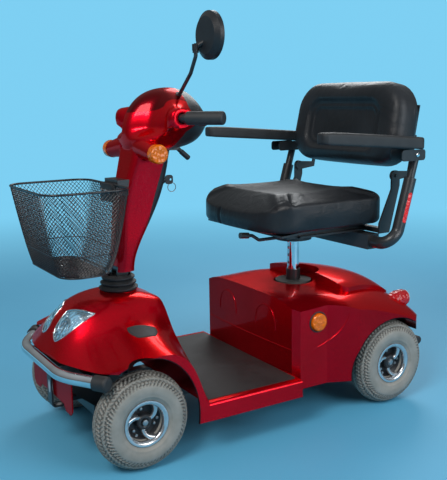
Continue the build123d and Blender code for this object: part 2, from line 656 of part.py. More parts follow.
def headlight_reflectors():
    """Reflector bodies behind the lenses, each with a bowl round its bulb."""
    outer = nose_block()
    front = Pos(0, LENS_THICKNESS + FACE_GAP, 0) * outer
    behind = Pos(0, 34, 0) * outer
    body = largest((front & lamp_window(1, -1.0)) - behind)
    bowl_centre = point(50, -110, 350)
    aim = Vector(0.12, -0.92, 0.36).normalized()
    body -= rod(bowl_centre + aim * 2, bowl_centre + aim * 60, 20)
    body += rod(bowl_centre - aim * 4, bowl_centre + aim * 7, 6)
    return both(largest(body))


def nose_lower_panel():
    """Red apron behind the bumper, held by the bumper brackets, with a lobe at each lower corner."""
    front = LOOP_FRONT_AFT + LOOP_STRAP / 2 + PANEL_CLEARANCE
    top = BUMPER_HEIGHT - 10 - SEAT_GAP
    outline = [(-APRON_HALF_WIDTH, top), (-APRON_HALF_WIDTH, APRON_BOTTOM + 12),
               (-APRON_HALF_WIDTH + 12, APRON_BOTTOM), (-APRON_HALF_WIDTH + 46, APRON_BOTTOM),
               (-APRON_HALF_WIDTH + 62, APRON_MIDDLE), (APRON_HALF_WIDTH - 62, APRON_MIDDLE),
               (APRON_HALF_WIDTH - 46, APRON_BOTTOM), (APRON_HALF_WIDTH - 12, APRON_BOTTOM),
               (APRON_HALF_WIDTH, APRON_BOTTOM + 12), (APRON_HALF_WIDTH, top)]
    face = make_face(Polyline(*[point(x, front, z) for x, z in outline], close=True))
    return extrude(face, PANEL_THICKNESS, dir=(0, 1, 0))


def bumper_bar(radius):
    """Bent bumper tube as a solid bar of this radius."""
    end_x, end_aft = BUMPER_END
    route = [point(-end_x, end_aft, BUMPER_HEIGHT), point(-BUMPER_BEND_X, BUMPER_FRONT_AFT, BUMPER_HEIGHT),
             point(BUMPER_BEND_X, BUMPER_FRONT_AFT, BUMPER_HEIGHT), point(end_x, end_aft, BUMPER_HEIGHT)]
    return swept_rod(route, 150.0, radius)


def bumper_end():
    """The right-hand end point of the bumper and its outward direction."""
    end = point(BUMPER_END[0], BUMPER_END[1], BUMPER_HEIGHT)
    corner = point(BUMPER_BEND_X, BUMPER_FRONT_AFT, BUMPER_HEIGHT)
    return end, (end - corner).normalized()


def front_bumper():
    """Chromed bumper tube, open inside its rubber ends."""
    end, outward = bumper_end()
    bar = bumper_bar(BUMPER_RADIUS)
    for sign in (1, -1):
        tip = Vector(sign * end.X, end.Y, end.Z)
        out = Vector(sign * outward.X, outward.Y, outward.Z)
        bar -= rod(tip - out * (BUMPER_CAP_LENGTH + 20), tip + out * 5, BUMPER_RADIUS - 2)
    return bar


def bumper_caps():
    """Rubber sleeves on the front bumper's ends and two rear buffers."""
    end, outward = bumper_end()
    cap = rod(end - outward * (BUMPER_CAP_LENGTH - 12), end + outward * 12, BUMPER_CAP_RADIUS)
    cap = fillet(cap.faces().sort_by(Axis.X)[-1].edges(), 7)
    cap -= rod(end - outward * 60, end + outward * SEAT_GAP, BUMPER_RADIUS + 0.1)
    buffer = rod(point(REAR_BAR_X - 20, REAR_BAR_AFT, REAR_BAR_HEIGHT),
                 point(REAR_BAR_X + 12, REAR_BAR_AFT, REAR_BAR_HEIGHT), BUFFER_RADIUS)
    buffer = fillet(buffer.faces().sort_by(Axis.X)[-1].edges(), 5)
    return both(cap) + both(buffer - rear_bar(REAR_BAR_RADIUS + 0.1))


# ================================================================ deck
def floor_deck():
    """Red floor tray: flat top, deep sills down both sides, stiffening ribs underneath."""
    start, end = DECK_START_AFT, DECK_END_AFT
    tray = block((-DECK_HALF_WIDTH, DECK_HALF_WIDTH), (start, end), (DECK_BOTTOM, DECK_TOP))
    tray = fillet(tray.edges().filter_by(Axis.Y).group_by(Axis.Z)[-1], 9)
    tray -= block((-DECK_HALF_WIDTH + SKIN, DECK_HALF_WIDTH - SKIN), (start - 1, end + 1),
                  (DECK_BOTTOM - 1, DECK_TOP - 8))
    tray -= block((-MAT_HALF_WIDTH, MAT_HALF_WIDTH), (start + 4, end - 4), (DECK_TOP - 2, DECK_TOP + 1))
    return tray


DECK_END_AFT = 484.0
MAT_HALF_WIDTH = 262.0


def floor_mat():
    """Ribbed rubber mat in the deck's recess."""
    inset = 0.5
    mat = block((-MAT_HALF_WIDTH + inset, MAT_HALF_WIDTH - inset), (DECK_START_AFT + 4 + inset, BODY_START_AFT - 1),
                (DECK_TOP - 2, DECK_TOP - 2 + MAT_THICKNESS))
    return fillet(mat.edges().filter_by(Axis.Z), 8)


# ================================================================ rear body
BODY_HALF_WIDTH = 250.0
FENDER_HALF_WIDTH = 290.0
BODY_START_AFT = 478.0
BODY_END_AFT = 956.0
REAR_ARCH_CENTRE = (WHEELBASE - 2, 118.0)
REAR_ARCH_REACH = 158.0
REAR_ARCH_HEIGHT = 154.0
BODY_STATIONS = [
    (400.0, [(0, 366), (110, 364), (190, 356), (232, 342), (BODY_HALF_WIDTH, 322)]),
    (500.0, [(0, 366), (110, 364), (190, 357), (232, 344), (BODY_HALF_WIDTH, 324)]),
    (600.0, [(0, 362), (110, 361), (190, 357), (232, 348), (BODY_HALF_WIDTH + 2, 330)]),
    (700.0, [(0, 360), (110, 359), (190, 355), (236, 346), (BODY_HALF_WIDTH + 16, 326)]),
    (800.0, [(0, 358), (110, 354), (190, 344), (252, 324), (FENDER_HALF_WIDTH, 298)]),
    (900.0, [(0, 332), (110, 327), (190, 314), (252, 292), (FENDER_HALF_WIDTH - 4, 262)]),
    (965.0, [(0, 296), (110, 290), (190, 276), (250, 250), (FENDER_HALF_WIDTH - 12, 214)]),
]
BODY_RIDGE_X = 232.0
BODY_BOW = 6.0
BODY_CORNER = 18.0


def body_plan(inset=0.0):
    """Plan outline of the rear body as a tall prism: nearly flat front, cut corners, flared quarters."""
    narrow = BODY_HALF_WIDTH - inset
    wide = FENDER_HALF_WIDTH - inset
    ridge = BODY_RIDGE_X - inset / 2
    front = BODY_START_AFT + inset
    rear = BODY_END_AFT - inset
    bow = ThreePointArc(point(ridge, front + BODY_BOW, 0), point(0, front, 0), point(-ridge, front + BODY_BOW, 0))
    left = [point(-narrow, front + BODY_BOW + BODY_CORNER, 0), point(-narrow, 600, 0), point(-wide, 690, 0),
            point(-wide, rear - 40, 0), point(-wide + 36, rear, 0)]
    right = [point(narrow, front + BODY_BOW + BODY_CORNER, 0), point(narrow, 600, 0), point(wide, 690, 0),
             point(wide, rear - 40, 0), point(wide - 36, rear, 0)]
    rest = Polyline(bow @ 1, *left, *reversed(right), bow @ 0)
    return extrude(make_face([bow, rest]), 500)


def body_block(inset=0.0):
    """Whole form of the rear body, smaller by inset on every outer face."""
    low = BODY_FLOOR - 20
    wide = [(distance, crown[:-1] + [(FENDER_HALF_WIDTH + 10, crown[-1][1] - 12)])
            for distance, crown in BODY_STATIONS]
    form = crowned_loft(wide, low, inset) & body_plan(inset)
    return form


def rear_body_shell():
    """Moulded rear body: thin shell with wheel wells, post hole and lamp seats."""
    outer = body_block()
    inner = body_block(SKIN)
    for side in (-1, 1):
        well = tuple(sorted((side * (REAR_HALF_TRACK - TYRE_SECTION - 12), side * 400)))
        lined = tuple(sorted((side * (REAR_HALF_TRACK - TYRE_SECTION - 12 - SKIN), side * 400)))
        outer -= wheel_arch(REAR_ARCH_CENTRE, REAR_ARCH_REACH, REAR_ARCH_HEIGHT, well)
        inner -= wheel_arch(REAR_ARCH_CENTRE, REAR_ARCH_REACH + SKIN, REAR_ARCH_HEIGHT + SKIN, lined)
        axle_cut = rod(point(side * 170, WHEELBASE, WHEEL_RADIUS), point(side * 300, WHEELBASE, WHEEL_RADIUS), 26)
        outer -= axle_cut
        outer -= block((side * 150, side * 240), (WHEELBASE - 26, WHEELBASE + 26), (0, WHEEL_RADIUS))
    shell = outer - inner
    shell -= block((-400, 400), (0, 1200), (0, BODY_FLOOR))
    shell -= block((-DECK_HALF_WIDTH - 5, DECK_HALF_WIDTH + 5), (0, DECK_END_AFT + SEAT_GAP),
                   (0, DECK_TOP + SEAT_GAP))
    shell -= block((-300, 300), (0, 1200), (COLLAR_BASE, 600)) & rod(
        point(0, POST_AFT, 300), point(0, POST_AFT, 500), COLLAR_RADIUS + 6)
    shell -= rod(point(0, POST_AFT, 300), point(0, POST_AFT, 500), SOCKET_RADIUS + 2)
    for side in (-1, 1):
        shell -= block((side * (RAIL_X - 18), side * (RAIL_X + 18)), (900, 1000),
                       (UPPER_RAIL_TOP - RAIL_HEIGHT - 3, UPPER_RAIL_TOP + 3))
    return shell


COVER_STATIONS = [
    (680.0, [(0, 396), (75, 393), (135, 386), (180, 376), (212, 360)]),
    (750.0, [(0, 394), (75, 391), (135, 383), (180, 372), (212, 355)]),
    (830.0, [(0, 380), (75, 376), (135, 366), (180, 352), (212, 334)]),
    (900.0, [(0, 356), (75, 351), (135, 338), (180, 322), (212, 304)]),
    (940.0, [(0, 324), (75, 319), (135, 305), (180, 290), (212, 274)]),
]
COVER_HALF_WIDTH = 206.0
COVER_SCOOP = 82.0


def cover_form(inset=0.0):
    """Raised rear cover as a block, scooped out round the seat post."""
    corners = [point(-COVER_HALF_WIDTH + inset, 700 + inset, 0), point(-60, 690 + inset, 0),
               point(60, 690 + inset, 0), point(COVER_HALF_WIDTH - inset, 700 + inset, 0),
               point(150 - inset, 932 - inset, 0), point(-150 + inset, 932 - inset, 0)]
    plan = extrude(make_face(FilletPolyline(*corners, radius=24.0, close=True)), 500)
    form = crowned_loft(COVER_STATIONS, 200, inset) & plan
    return form - rod(point(0, POST_AFT, 100), point(0, POST_AFT, 500), COVER_SCOOP + inset)


def rear_top_cover():
    """Lift-off cover over the drive unit, resting on the rear body."""
    return largest(cover_form() - cover_form(SKIN) - body_block())


INDICATOR_RADIUS = 26.0


def round_lens(start, end, radius, dome):
    """Round lens with a domed outer face."""
    lens = rod(start, end, radius)
    outward = Vector(end) - Vector(start)
    face = max(lens.faces(), key=lambda item: item.center().dot(outward))
    return fillet(face.edges(), dome)


def body_indicator_lenses():
    """Amber side lenses on the rear body."""
    lens = round_lens(point(228, 565, 297), point(261, 565, 297), INDICATOR_RADIUS, 5)
    return both(largest(lens - body_block()))


def tail_lamps():
    """Red round lamps on the rear corners, each tapering forward to the body."""
    axis = Plane(origin=point(196, 880, 300), x_dir=(1, 0, 0), z_dir=(0, 1, 0))
    lamp = loft([axis * Circle(14), axis.offset(40) * Circle(27), axis.offset(68) * Circle(27)], ruled=True)
    lamp += round_lens(point(196, 948, 300), point(196, 960, 300), 25, 6)
    return both(largest(lamp - body_block() - cover_form()))


# ================================================================ seat
PAN_SLOPE = 0.08
PAN_START_AFT = 470.0
PAN_END_AFT = 832.0
BASE_PLATE_LOW = 530.0
BASE_PLATE_TOP = 536.0
HINGE_PLATE_X = 238.0
HINGE_PLATE = 6.0
HINGE_PIN = 5.0
RECEIVER = 44.0
RECEIVER_START = 60.0
RECEIVER_END = 240.0
SWIVEL_LEVER_X = 80.0


def pan_height(distance):
    """Height of the seat pan's top, which rises to the rear."""
    return PAN_TOP + PAN_SLOPE * (distance - PAN_START_AFT)


def seat_post():
    """Chromed height-adjusting post with its swivel flange."""
    post = rod(point(0, POST_AFT, POST_BOTTOM), point(0, POST_AFT, POST_TOP), POST_RADIUS)
    post += rod(point(0, POST_AFT, POST_TOP), point(0, POST_AFT, POST_TOP + 6), 34)
    for step in range(3):
        height = SOCKET_TOP + 22 + 24 * step
        post -= rod(point(0, POST_AFT - 30, height), point(0, POST_AFT - POST_RADIUS + 6, height), 5)
    return post


def seat_frame():
    """Swivel bearing, base plate, slides, pan, armrest receiver and backrest hinge plates."""
    top = POST_TOP + 6
    bearing = rod(point(0, POST_AFT, top + FACE_GAP), point(0, POST_AFT, BASE_PLATE_LOW), 58)
    base = block((-172, 172), (560, 832), (BASE_PLATE_LOW, BASE_PLATE_TOP))
    pan = side_prism([(PAN_START_AFT, PAN_TOP - 5), (PAN_START_AFT, PAN_TOP),
                      (PAN_END_AFT, pan_height(PAN_END_AFT)), (PAN_END_AFT, pan_height(PAN_END_AFT) - 5)],
                     (-CUSHION_HALF_WIDTH + 25, CUSHION_HALF_WIDTH - 25))
    frame = bearing + base + pan
    for side in (-1, 1):
        slide = tuple(sorted((side * 146, side * 160)))
        frame += side_prism([(520, BASE_PLATE_TOP - 6), (820, BASE_PLATE_TOP - 6), (820, pan_height(820) - 4),
                             (520, pan_height(520) - 4)], slide)
    receiver = block((-RECEIVER_END, RECEIVER_END), (ARM_AFT - RECEIVER / 2, ARM_AFT + RECEIVER / 2),
                     (ARM_HEIGHT - RECEIVER / 2, ARM_HEIGHT + RECEIVER / 2))
    frame += receiver
    frame += block((-HINGE_PLATE_X - HINGE_PLATE, HINGE_PLATE_X + HINGE_PLATE), (808, 832),
                   (BASE_PLATE_LOW, BASE_PLATE_TOP + 8))
    hinge_aft, hinge_z = BACKREST_HINGE
    for side in (-1, 1):
        plate = tuple(sorted((side * HINGE_PLATE_X, side * (HINGE_PLATE_X + HINGE_PLATE))))
        frame += side_prism([(800, BASE_PLATE_LOW), (840, BASE_PLATE_LOW), (hinge_aft + 16, hinge_z - 30),
                             (hinge_aft + 16, hinge_z), (hinge_aft - 16, hinge_z), (hinge_aft - 16, hinge_z - 40),
                             (800, BASE_PLATE_LOW + 30)], plate)
        frame += rod(point(plate[0], hinge_aft, hinge_z), point(plate[1], hinge_aft, hinge_z), 16)
        frame += rod(point(side * (HINGE_PLATE_X - HINGE_PLATE - 0.5), hinge_aft, hinge_z),
                     point(side * (HINGE_PLATE_X + HINGE_PLATE + 5), hinge_aft, hinge_z), HINGE_PIN)
    bore = rod(point(-RECEIVER_END - 5, ARM_AFT, ARM_HEIGHT), point(RECEIVER_END + 5, ARM_AFT, ARM_HEIGHT),
               ARM_TUBE_RADIUS + RUNNING)
    frame -= bore
    lever_pivot = rod(point(SWIVEL_LEVER_X, 600, BASE_PLATE_LOW - 16), point(SWIVEL_LEVER_X, 600, BASE_PLATE_LOW), 4)
    return frame + lever_pivot


def swivel_lever():
    """Seat release lever that swings under the front of the pan."""
    height = BASE_PLATE_LOW - 8
    hub = rod(point(SWIVEL_LEVER_X, 600, height - 6), point(SWIVEL_LEVER_X, 600, height + 6), 11)
    arm = swept_rod([point(SWIVEL_LEVER_X, 592, height), point(SWIVEL_LEVER_X, 476, height),
                     point(SWIVEL_LEVER_X, 452, height + 16), point(SWIVEL_LEVER_X, 424, height + 19)], 12.0, 5)
    knob = rod(point(SWIVEL_LEVER_X, 438, height + 17.5), point(SWIVEL_LEVER_X, 410, height + 20.5), 9)
    return (hub + arm + knob) - rod(point(SWIVEL_LEVER_X, 600, height - 30),
                                    point(SWIVEL_LEVER_X, 600, height + 30), 4 + RUNNING)


def seat_cushion():
    """Seat cushion with a rolled front edge."""
    low_front = CUSHION_FRONT_AFT + 18
    outline = [(low_front, pan_height(low_front) + SEAT_GAP + 2), (CUSHION_FRONT_AFT, 590),
               (CUSHION_FRONT_AFT + 4, 636), (CUSHION_FRONT_AFT + 40, 664), (780, 656),
               (CUSHION_REAR_AFT - 4, 648), (CUSHION_REAR_AFT, 600),
               (CUSHION_REAR_AFT - 8, pan_height(CUSHION_REAR_AFT - 8) + SEAT_GAP),
               (PAN_START_AFT, PAN_TOP + SEAT_GAP)]
    cushion = side_prism(outline, (-CUSHION_HALF_WIDTH, CUSHION_HALF_WIDTH))
    half, front, rear, corner = CUSHION_HALF_WIDTH, CUSHION_FRONT_AFT, CUSHION_REAR_AFT, CUSHION_CORNER
    edges = [Polyline(point(half, front + corner, 0), point(half, rear - 30, 0), point(half - 30, rear, 0),
                      point(-half + 30, rear, 0), point(-half, rear - 30, 0), point(-half, front + corner, 0))]
    for side in (-1, 1):
        edges.append(ThreePointArc(point(side * half, front + corner, 0),
                                   point(side * (half - 0.27 * corner), front + 0.31 * corner, 0),
                                   point(side * (half - corner), front + CUSHION_BOW, 0)))
    edges.append(ThreePointArc(point(-half + corner, front + CUSHION_BOW, 0), point(0, front, 0),
                               point(half - corner, front + CUSHION_BOW, 0)))
    return cushion & extrude(make_face(edges), 1000)


def backrest_plane():
    """Plane at the foot of the backrest: X across, Y up its slope, Z to the front."""
    lean = radians(BACKREST_LEAN)
    return Plane(origin=point(0, BACKREST_FOOT_AFT, BACKREST_BOTTOM), x_dir=(1, 0, 0), z_dir=(0, -cos(lean), sin(lean)))


def backrest_cushion():
    """Backrest cushion with rounded corners and a recessed centre panel."""
    plane = backrest_plane()
    outline = Pos(0, BACKREST_HEIGHT / 2) * RectangleRounded(2 * BACKREST_HALF_WIDTH, BACKREST_HEIGHT,
                                                             BACKREST_CORNER)
    cushion = extrude(plane.offset(-BACKREST_THICKNESS / 2) * outline, BACKREST_THICKNESS)
    cushion = fillet(cushion.edges().filter_by(GeomType.LINE) + cushion.edges().filter_by(GeomType.CIRCLE), 18)
    panel = Pos(0, BACKREST_HEIGHT / 2) * RectangleRounded(2 * BACKREST_HALF_WIDTH - 130,
                                                           BACKREST_HEIGHT - 110, 40)
    return cushion - extrude(plane.offset(BACKREST_THICKNESS / 2 - 12) * panel, 40)


def backrest_brackets():
    """Back plate with two straps that reach down to the folding hinge."""
    plane = backrest_plane()
    rear = -BACKREST_THICKNESS / 2 - SEAT_GAP
    outer_x = HINGE_PLATE_X - 0.5
    plate = extrude(plane.offset(rear - 4) * (Pos(0, BACKREST_HEIGHT / 2 - 8) * Rectangle(2 * outer_x, 150)), 4)
    hinge_aft, hinge_z = BACKREST_HINGE
    whole = plate
    lean = radians(BACKREST_LEAN)
    foot_aft = BACKREST_FOOT_AFT - rear * cos(lean)
    foot_z = BACKREST_BOTTOM + rear * sin(lean)
    for side in (-1, 1):
        strap_x = tuple(sorted((side * (outer_x - HINGE_PLATE), side * outer_x)))
        centre_x = sum(strap_x) / 2
        strap = extrude(plane.offset(rear - 10) * (Pos(centre_x, 45) * Rectangle(HINGE_PLATE, 126)), 10)
        foot = side_prism([(hinge_aft, hinge_z - 15), (foot_aft + 6, foot_z - 20), (foot_aft + 6, foot_z - 3),
                           (hinge_aft, hinge_z + 14)], strap_x)
        foot += rod(point(strap_x[0], hinge_aft, hinge_z), point(strap_x[1], hinge_aft, hinge_z), 15)
        whole += strap + foot
    return whole - rod(point(-300, hinge_aft, hinge_z), point(300, hinge_aft, hinge_z), HINGE_PIN + RUNNING)


def armrest_tube():
    """Left armrest tube: slides in the receiver, rises and ends at the pad hinge."""
    hinge_aft, hinge_z = ARM_HINGE
    bend_aft, bend_z = ARM_AFT + 38, ARM_HEIGHT + 32
    sleeve_top = 0.7
    top_aft = bend_aft + sleeve_top * (hinge_aft - bend_aft)
    top_z = bend_z + sleeve_top * (hinge_z - bend_z)
    tube = swept_rod([point(RECEIVER_START + 4, ARM_AFT, ARM_HEIGHT), point(ARM_X, ARM_AFT, ARM_HEIGHT),
                      point(ARM_X, bend_aft, bend_z), point(ARM_X, top_aft, top_z)], 35.0, ARM_TUBE_RADIUS)
    tube += rod(point(ARM_X, top_aft, top_z), point(ARM_X, hinge_aft, hinge_z), ARM_BOSS)
    tube += rod(point(ARM_X - ARM_BOSS_HALF, hinge_aft, hinge_z), point(ARM_X + ARM_BOSS_HALF, hinge_aft, hinge_z),
                ARM_BOSS)
    return tube + rod(point(ARM_X - PAD_CHANNEL, hinge_aft, hinge_z), point(ARM_X + PAD_CHANNEL, hinge_aft, hinge_z),
                      ARM_HINGE_RADIUS)


ARM_BOSS = 12.0
ARM_BOSS_HALF = 14.5
PAD_CHANNEL = 20.0
PAD_FRONT_AFT = 526.0
PAD_REAR_AFT = 904.0
PAD_TOP_FRONT = 846.0
PAD_SLOPE = 0.0794


def pad_top(distance):
    """Height of the armrest pad's top, which falls to the rear."""
    return PAD_TOP_FRONT - PAD_SLOPE * (distance - PAD_FRONT_AFT)


def armrest_pad():
    """Left armrest pad on its folded channel."""
    hinge_aft, hinge_z = ARM_HINGE
    low = PAD_THICKNESS
    pad = side_prism([(PAD_FRONT_AFT, pad_top(PAD_FRONT_AFT)), (PAD_REAR_AFT, pad_top(PAD_REAR_AFT)),
                      (PAD_REAR_AFT, pad_top(PAD_REAR_AFT) - low),
                      (PAD_FRONT_AFT, pad_top(PAD_FRONT_AFT) - low)], (ARM_X - PAD_WIDTH / 2, ARM_X + PAD_WIDTH / 2))
    pad = fillet(pad.edges().filter_by(Axis.X), 12)
    start, end = hinge_aft - 96, hinge_aft + 12
    outline = [(start, pad_top(start) - low + 1), (end, pad_top(end) - low + 1), (end, hinge_z - 6),
               (hinge_aft, hinge_z - 12), (hinge_aft - 40, hinge_z), (start, pad_top(start) - low - 6)]
    for side in (-1, 1):
        inner = ARM_X + side * (ARM_BOSS_HALF + 0.3)
        pad += side_prism(outline, tuple(sorted((inner, inner + side * 3))))
    return pad - rod(point(0, hinge_aft, hinge_z), point(400, hinge_aft, hinge_z), ARM_HINGE_RADIUS + RUNNING)


# ================================================================ tiller
COLUMN_SECTIONS = [(472.0, 40.0, 96.0, 40.0), (560.0, 51.0, 122.0, 43.0), (710.0, 72.0, 190.0, 50.0),
                   (800.0, 96.0, 206.0, 60.0), (850.0, 102.0, 222.0, 58.0)]
HEAD_STATIONS = [
    (0.0, [(96, 806), (92, 866), (124, 930), (204, 968), (284, 952), (332, 872), (314, 832), (214, 796)]),
    (60.0, [(104, 814), (98, 868), (128, 922), (198, 954), (272, 938), (314, 872), (296, 840), (214, 806)]),
    (112.0, [(120, 840), (114, 872), (134, 906), (180, 924), (222, 914), (240, 884), (224, 856), (176, 838)]),
    (180.0, [(150, 872), (147, 889), (154, 906), (175, 914), (196, 906), (203, 889), (196, 872), (175, 864)]),
]
PANEL_LINE = ((266.0, 962.0), (326.0, 862.0))
REAR_SPLIT = [(88, 440), (186, 790), (222, 850), (262, 870), (420, 870), (420, 440)]
PANEL_SPLIT = [(262, 870), (236, 915), (236, 1000), (420, 1000), (420, 870)]
HOOD_SPLIT = [(40, 876), (150, 922), (236, 915), (236, 1000), (40, 1000)]
HOOD_HALF_WIDTH = 92.0
TURN_LAMP = (117.0, 798.0)
TURN_LAMP_RADIUS = 25.0
TURN_LAMP_X = 137.0


def column_form(inset=0.0):
    """Tapering tiller column as a block."""
    sections = []
    for z, front, rear, half in COLUMN_SECTIONS:
        depth = rear - front - 2 * inset
        outline = RectangleRounded(2 * (half - inset), depth, 22 - inset)
        sections.append(Pos(0, aft((front + rear) / 2), z) * outline)
    return loft(sections)


def head_section(x, outline, inset):
    """Closed smooth section of the console head at x."""
    centre_aft = sum(a for a, z in outline) / len(outline)
    centre_z = sum(z for a, z in outline) / len(outline)
    corners = []
    for distance, z in outline:
        reach = sqrt((distance - centre_aft)**2 + (z - centre_z)**2)
        keep = 1 - inset / reach
        corners.append(point(x, centre_aft + keep * (distance - centre_aft), centre_z + keep * (z - centre_z)))
    return make_face(Spline(*corners, periodic=True))


def head_form(inset=0.0):
    """Console head as a block: tall in the middle, tapering to the handlebar at each side."""
    half = []
    for x, outline in HEAD_STATIONS:
        half.append((max(x - inset, 0.0) if x == HEAD_STATIONS[-1][0] else x, outline))
    row = [(-x, outline) for x, outline in reversed(half[1:])] + half
    return loft([head_section(x, outline, inset) for x, outline in row])


def beyond_panel(inset=0.0):
    """Everything behind the flat control panel's face."""
    (a0, z0), (a1, z1) = PANEL_LINE
    length = sqrt((a1 - a0)**2 + (z1 - z0)**2)
    along_a, along_z = (a1 - a0) / length, (z1 - z0) / length
    shift_a, shift_z = along_z * inset, -along_a * inset
    start = (a0 - 200 * along_a + shift_a, z0 - 200 * along_z + shift_z)
    end = (a1 + 36 * along_a + shift_a, z1 + 36 * along_z + shift_z)
    return side_prism([start, end, (end[0] + 300, end[1]), (end[0] + 300, start[1])], (-300, 300))


def tiller_outer():
    """Whole outer form of the tiller covers."""
    return (column_form() + head_form()) - beyond_panel()


TILT_NOTCH_HALF = 28.0
TILT_NOTCH_TOP = 487.0


def tiller_skin():
    """All the tiller covers as one thin shell, with its openings cut."""
    inner = (column_form(COVER_WALL) + head_form(COVER_WALL)) - beyond_panel(COVER_WALL)
    skin = tiller_outer() - inner
    skin -= block((-60, 60), (0, 200), (400, 474)) & column_form(COVER_WALL)
    skin -= block((-TILT_NOTCH_HALF, TILT_NOTCH_HALF), (0, 70), (400, TILT_NOTCH_TOP))
    turn_aft, turn_z = TURN_LAMP
    for side in (-1, 1):
        boss_plane = Plane(origin=point(side * 40, turn_aft + 12, turn_z + 16), x_dir=(0, 1, 0), z_dir=(side, 0, 0))
        lamp_plane = Plane(origin=point(side * TURN_LAMP_X, turn_aft, turn_z), x_dir=(0, 1, 0), z_dir=(side, 0, 0))
        boss = loft([boss_plane * Circle(34), lamp_plane * Circle(TURN_LAMP_RADIUS - 1)])
        skin += boss - inner
        skin -= rod(point(side * 150, BAR_AFT, BAR_HEIGHT), point(side * 200, BAR_AFT, BAR_HEIGHT), BAR_RADIUS + 3)
        skin -= block((side * 76, side * 140), (WIGWAG_AFT - 26, WIGWAG_AFT + 24), (WIGWAG_Z - 8, WIGWAG_Z + 8))
    skin -= block((TILT_LEVER_X - 11, TILT_LEVER_X + 11), (190, 262), (770, 832))
    return skin


def split_skin():
    """The skin cut along its part lines into named covers."""
    skin = tiller_skin()
    whole = (-400, 400)
    rear = skin & side_prism(REAR_SPLIT, whole)
    panel = skin & side_prism(PANEL_SPLIT, whole)
    hood = skin & side_prism(HOOD_SPLIT, (-HOOD_HALF_WIDTH, HOOD_HALF_WIDTH))
    front = skin - side_prism(REAR_SPLIT, whole) - side_prism(PANEL_SPLIT, whole)
    front -= side_prism(HOOD_SPLIT, (-HOOD_HALF_WIDTH, HOOD_HALF_WIDTH))
    return front, rear, hood, panel


WIGWAG_AFT = 262.0
WIGWAG_Z = 880.0
TILT_LEVER_X = 40.0
TILT_LEVER_PIVOT = (228.0, 806.0)
KEY_PLACE = (20.0, 715.0)


def panel_plane(across, up=0.0):
    """Plane on the control panel: X to the rider's left, Z out of the panel."""
    (a0, z0), (a1, z1) = PANEL_LINE
    length = sqrt((a1 - a0)**2 + (z1 - z0)**2)
    along = Vector(0, (a0 - a1) / length, (z0 - z1) / length)
    middle = point(across, (a0 + a1) / 2, (z0 + z1) / 2) + along * up
    return Plane(origin=middle, x_dir=(-1, 0, 0), z_dir=Vector(-1, 0, 0).cross(along))


def handlebar(radius):
    """Bent handlebar as a solid bar of this radius."""
    tip_x, tip_aft = GRIP_TIP
    route = [point(-tip_x, tip_aft, BAR_HEIGHT), point(-BAR_BEND_X, BAR_AFT, BAR_HEIGHT),
             point(BAR_BEND_X, BAR_AFT, BAR_HEIGHT), point(tip_x, tip_aft, BAR_HEIGHT)]
    return swept_rod(route, 30.0, radius)


def tilt_pivot(x=0.0):
    """Point on the tiller's tilt axis."""
    return steer_point(TILT_PIVOT_UP, 0, x)


def tiller_column():
    """Inner column from the tilt pivot to the handlebar, with the small pivots it carries."""
    pivot = tilt_pivot()
    top = point(0, BAR_AFT, BAR_HEIGHT)
    upward = (top - pivot).normalized()
    half_tongue = CLEVIS_TONGUE / 2
    column = rod(tilt_pivot(-half_tongue), tilt_pivot(half_tongue), CLEVIS_RADIUS)
    column += rod(pivot, pivot + upward * 60, half_tongue)
    column += rod(pivot + upward * 30, top, CLEVIS_RADIUS)
    column += handlebar(BAR_RADIUS)
    column += block((-24, 24), (BAR_AFT - 20, BAR_AFT + 20), (BAR_HEIGHT - 20, BAR_HEIGHT + 16))
    column += block((-12, 12), (BAR_AFT, WIGWAG_AFT + 10), (WIGWAG_Z - 20, WIGWAG_Z - 15))
    column += rod(point(0, WIGWAG_AFT, WIGWAG_Z - 16), point(0, WIGWAG_AFT, WIGWAG_Z + 16), 4)
    lever_aft, lever_z = TILT_LEVER_PIVOT
    for x in (TILT_LEVER_X - 9.5, TILT_LEVER_X + 6.5):
        column += side_prism([(150, lever_z + 8), (150, lever_z - 6), (lever_aft, lever_z - 8),
                              (lever_aft + 8, lever_z), (lever_aft, lever_z + 8)], (x, x + 3))
    column += block((0, TILT_LEVER_X + 9.5), (150, 164), (lever_z - 6, lever_z + 8))
    column += rod(point(TILT_LEVER_X - 9, lever_aft, lever_z), point(TILT_LEVER_X + 9, lever_aft, lever_z), 3)
    return column - rod(tilt_pivot(-40), tilt_pivot(40), TILT_PIN_RADIUS + RUNNING)


def basket_bracket(outer):
    """Quick-release bracket on the front of the column, with two hook pins."""
    plate = block((-44, 44), (BASKET_REAR_AFT + 6, 90), (BASKET_TOP - 28, BASKET_TOP + 14))
    plate = plate - outer
    lip = block((-44, 44), (BASKET_REAR_AFT + 1.0, BASKET_REAR_AFT + 6), (BASKET_TOP - 28, BASKET_TOP - 4))
    return largest(plate + lip)


BASKET_REAR_AFT = 41.0
BASKET_FRONT_AFT = -196.0
BASKET_HALF_WIDTH = 167.0
BASKET_TOP = 712.0
BASKET_BOTTOM = 496.0


def basket_form(inset=0.0):
    """Basket as a block that narrows downwards, wider than deep, with round corners."""
    levels = [(BASKET_BOTTOM + inset, 146.0, -150.0, -22.0, 40.0),
              (BASKET_BOTTOM + 26, 152.0, -166.0, -8.0, 46.0),
              (BASKET_TOP, BASKET_HALF_WIDTH, BASKET_FRONT_AFT, BASKET_REAR_AFT, 52.0)]
    sections = []
    for z, half, front, rear, corner in levels:
        outline = RectangleRounded(2 * (half - inset), rear - front - 2 * inset, corner - inset)
        sections.append(Pos(0, aft((front + rear) / 2), z) * outline)
    return loft(sections, ruled=True)


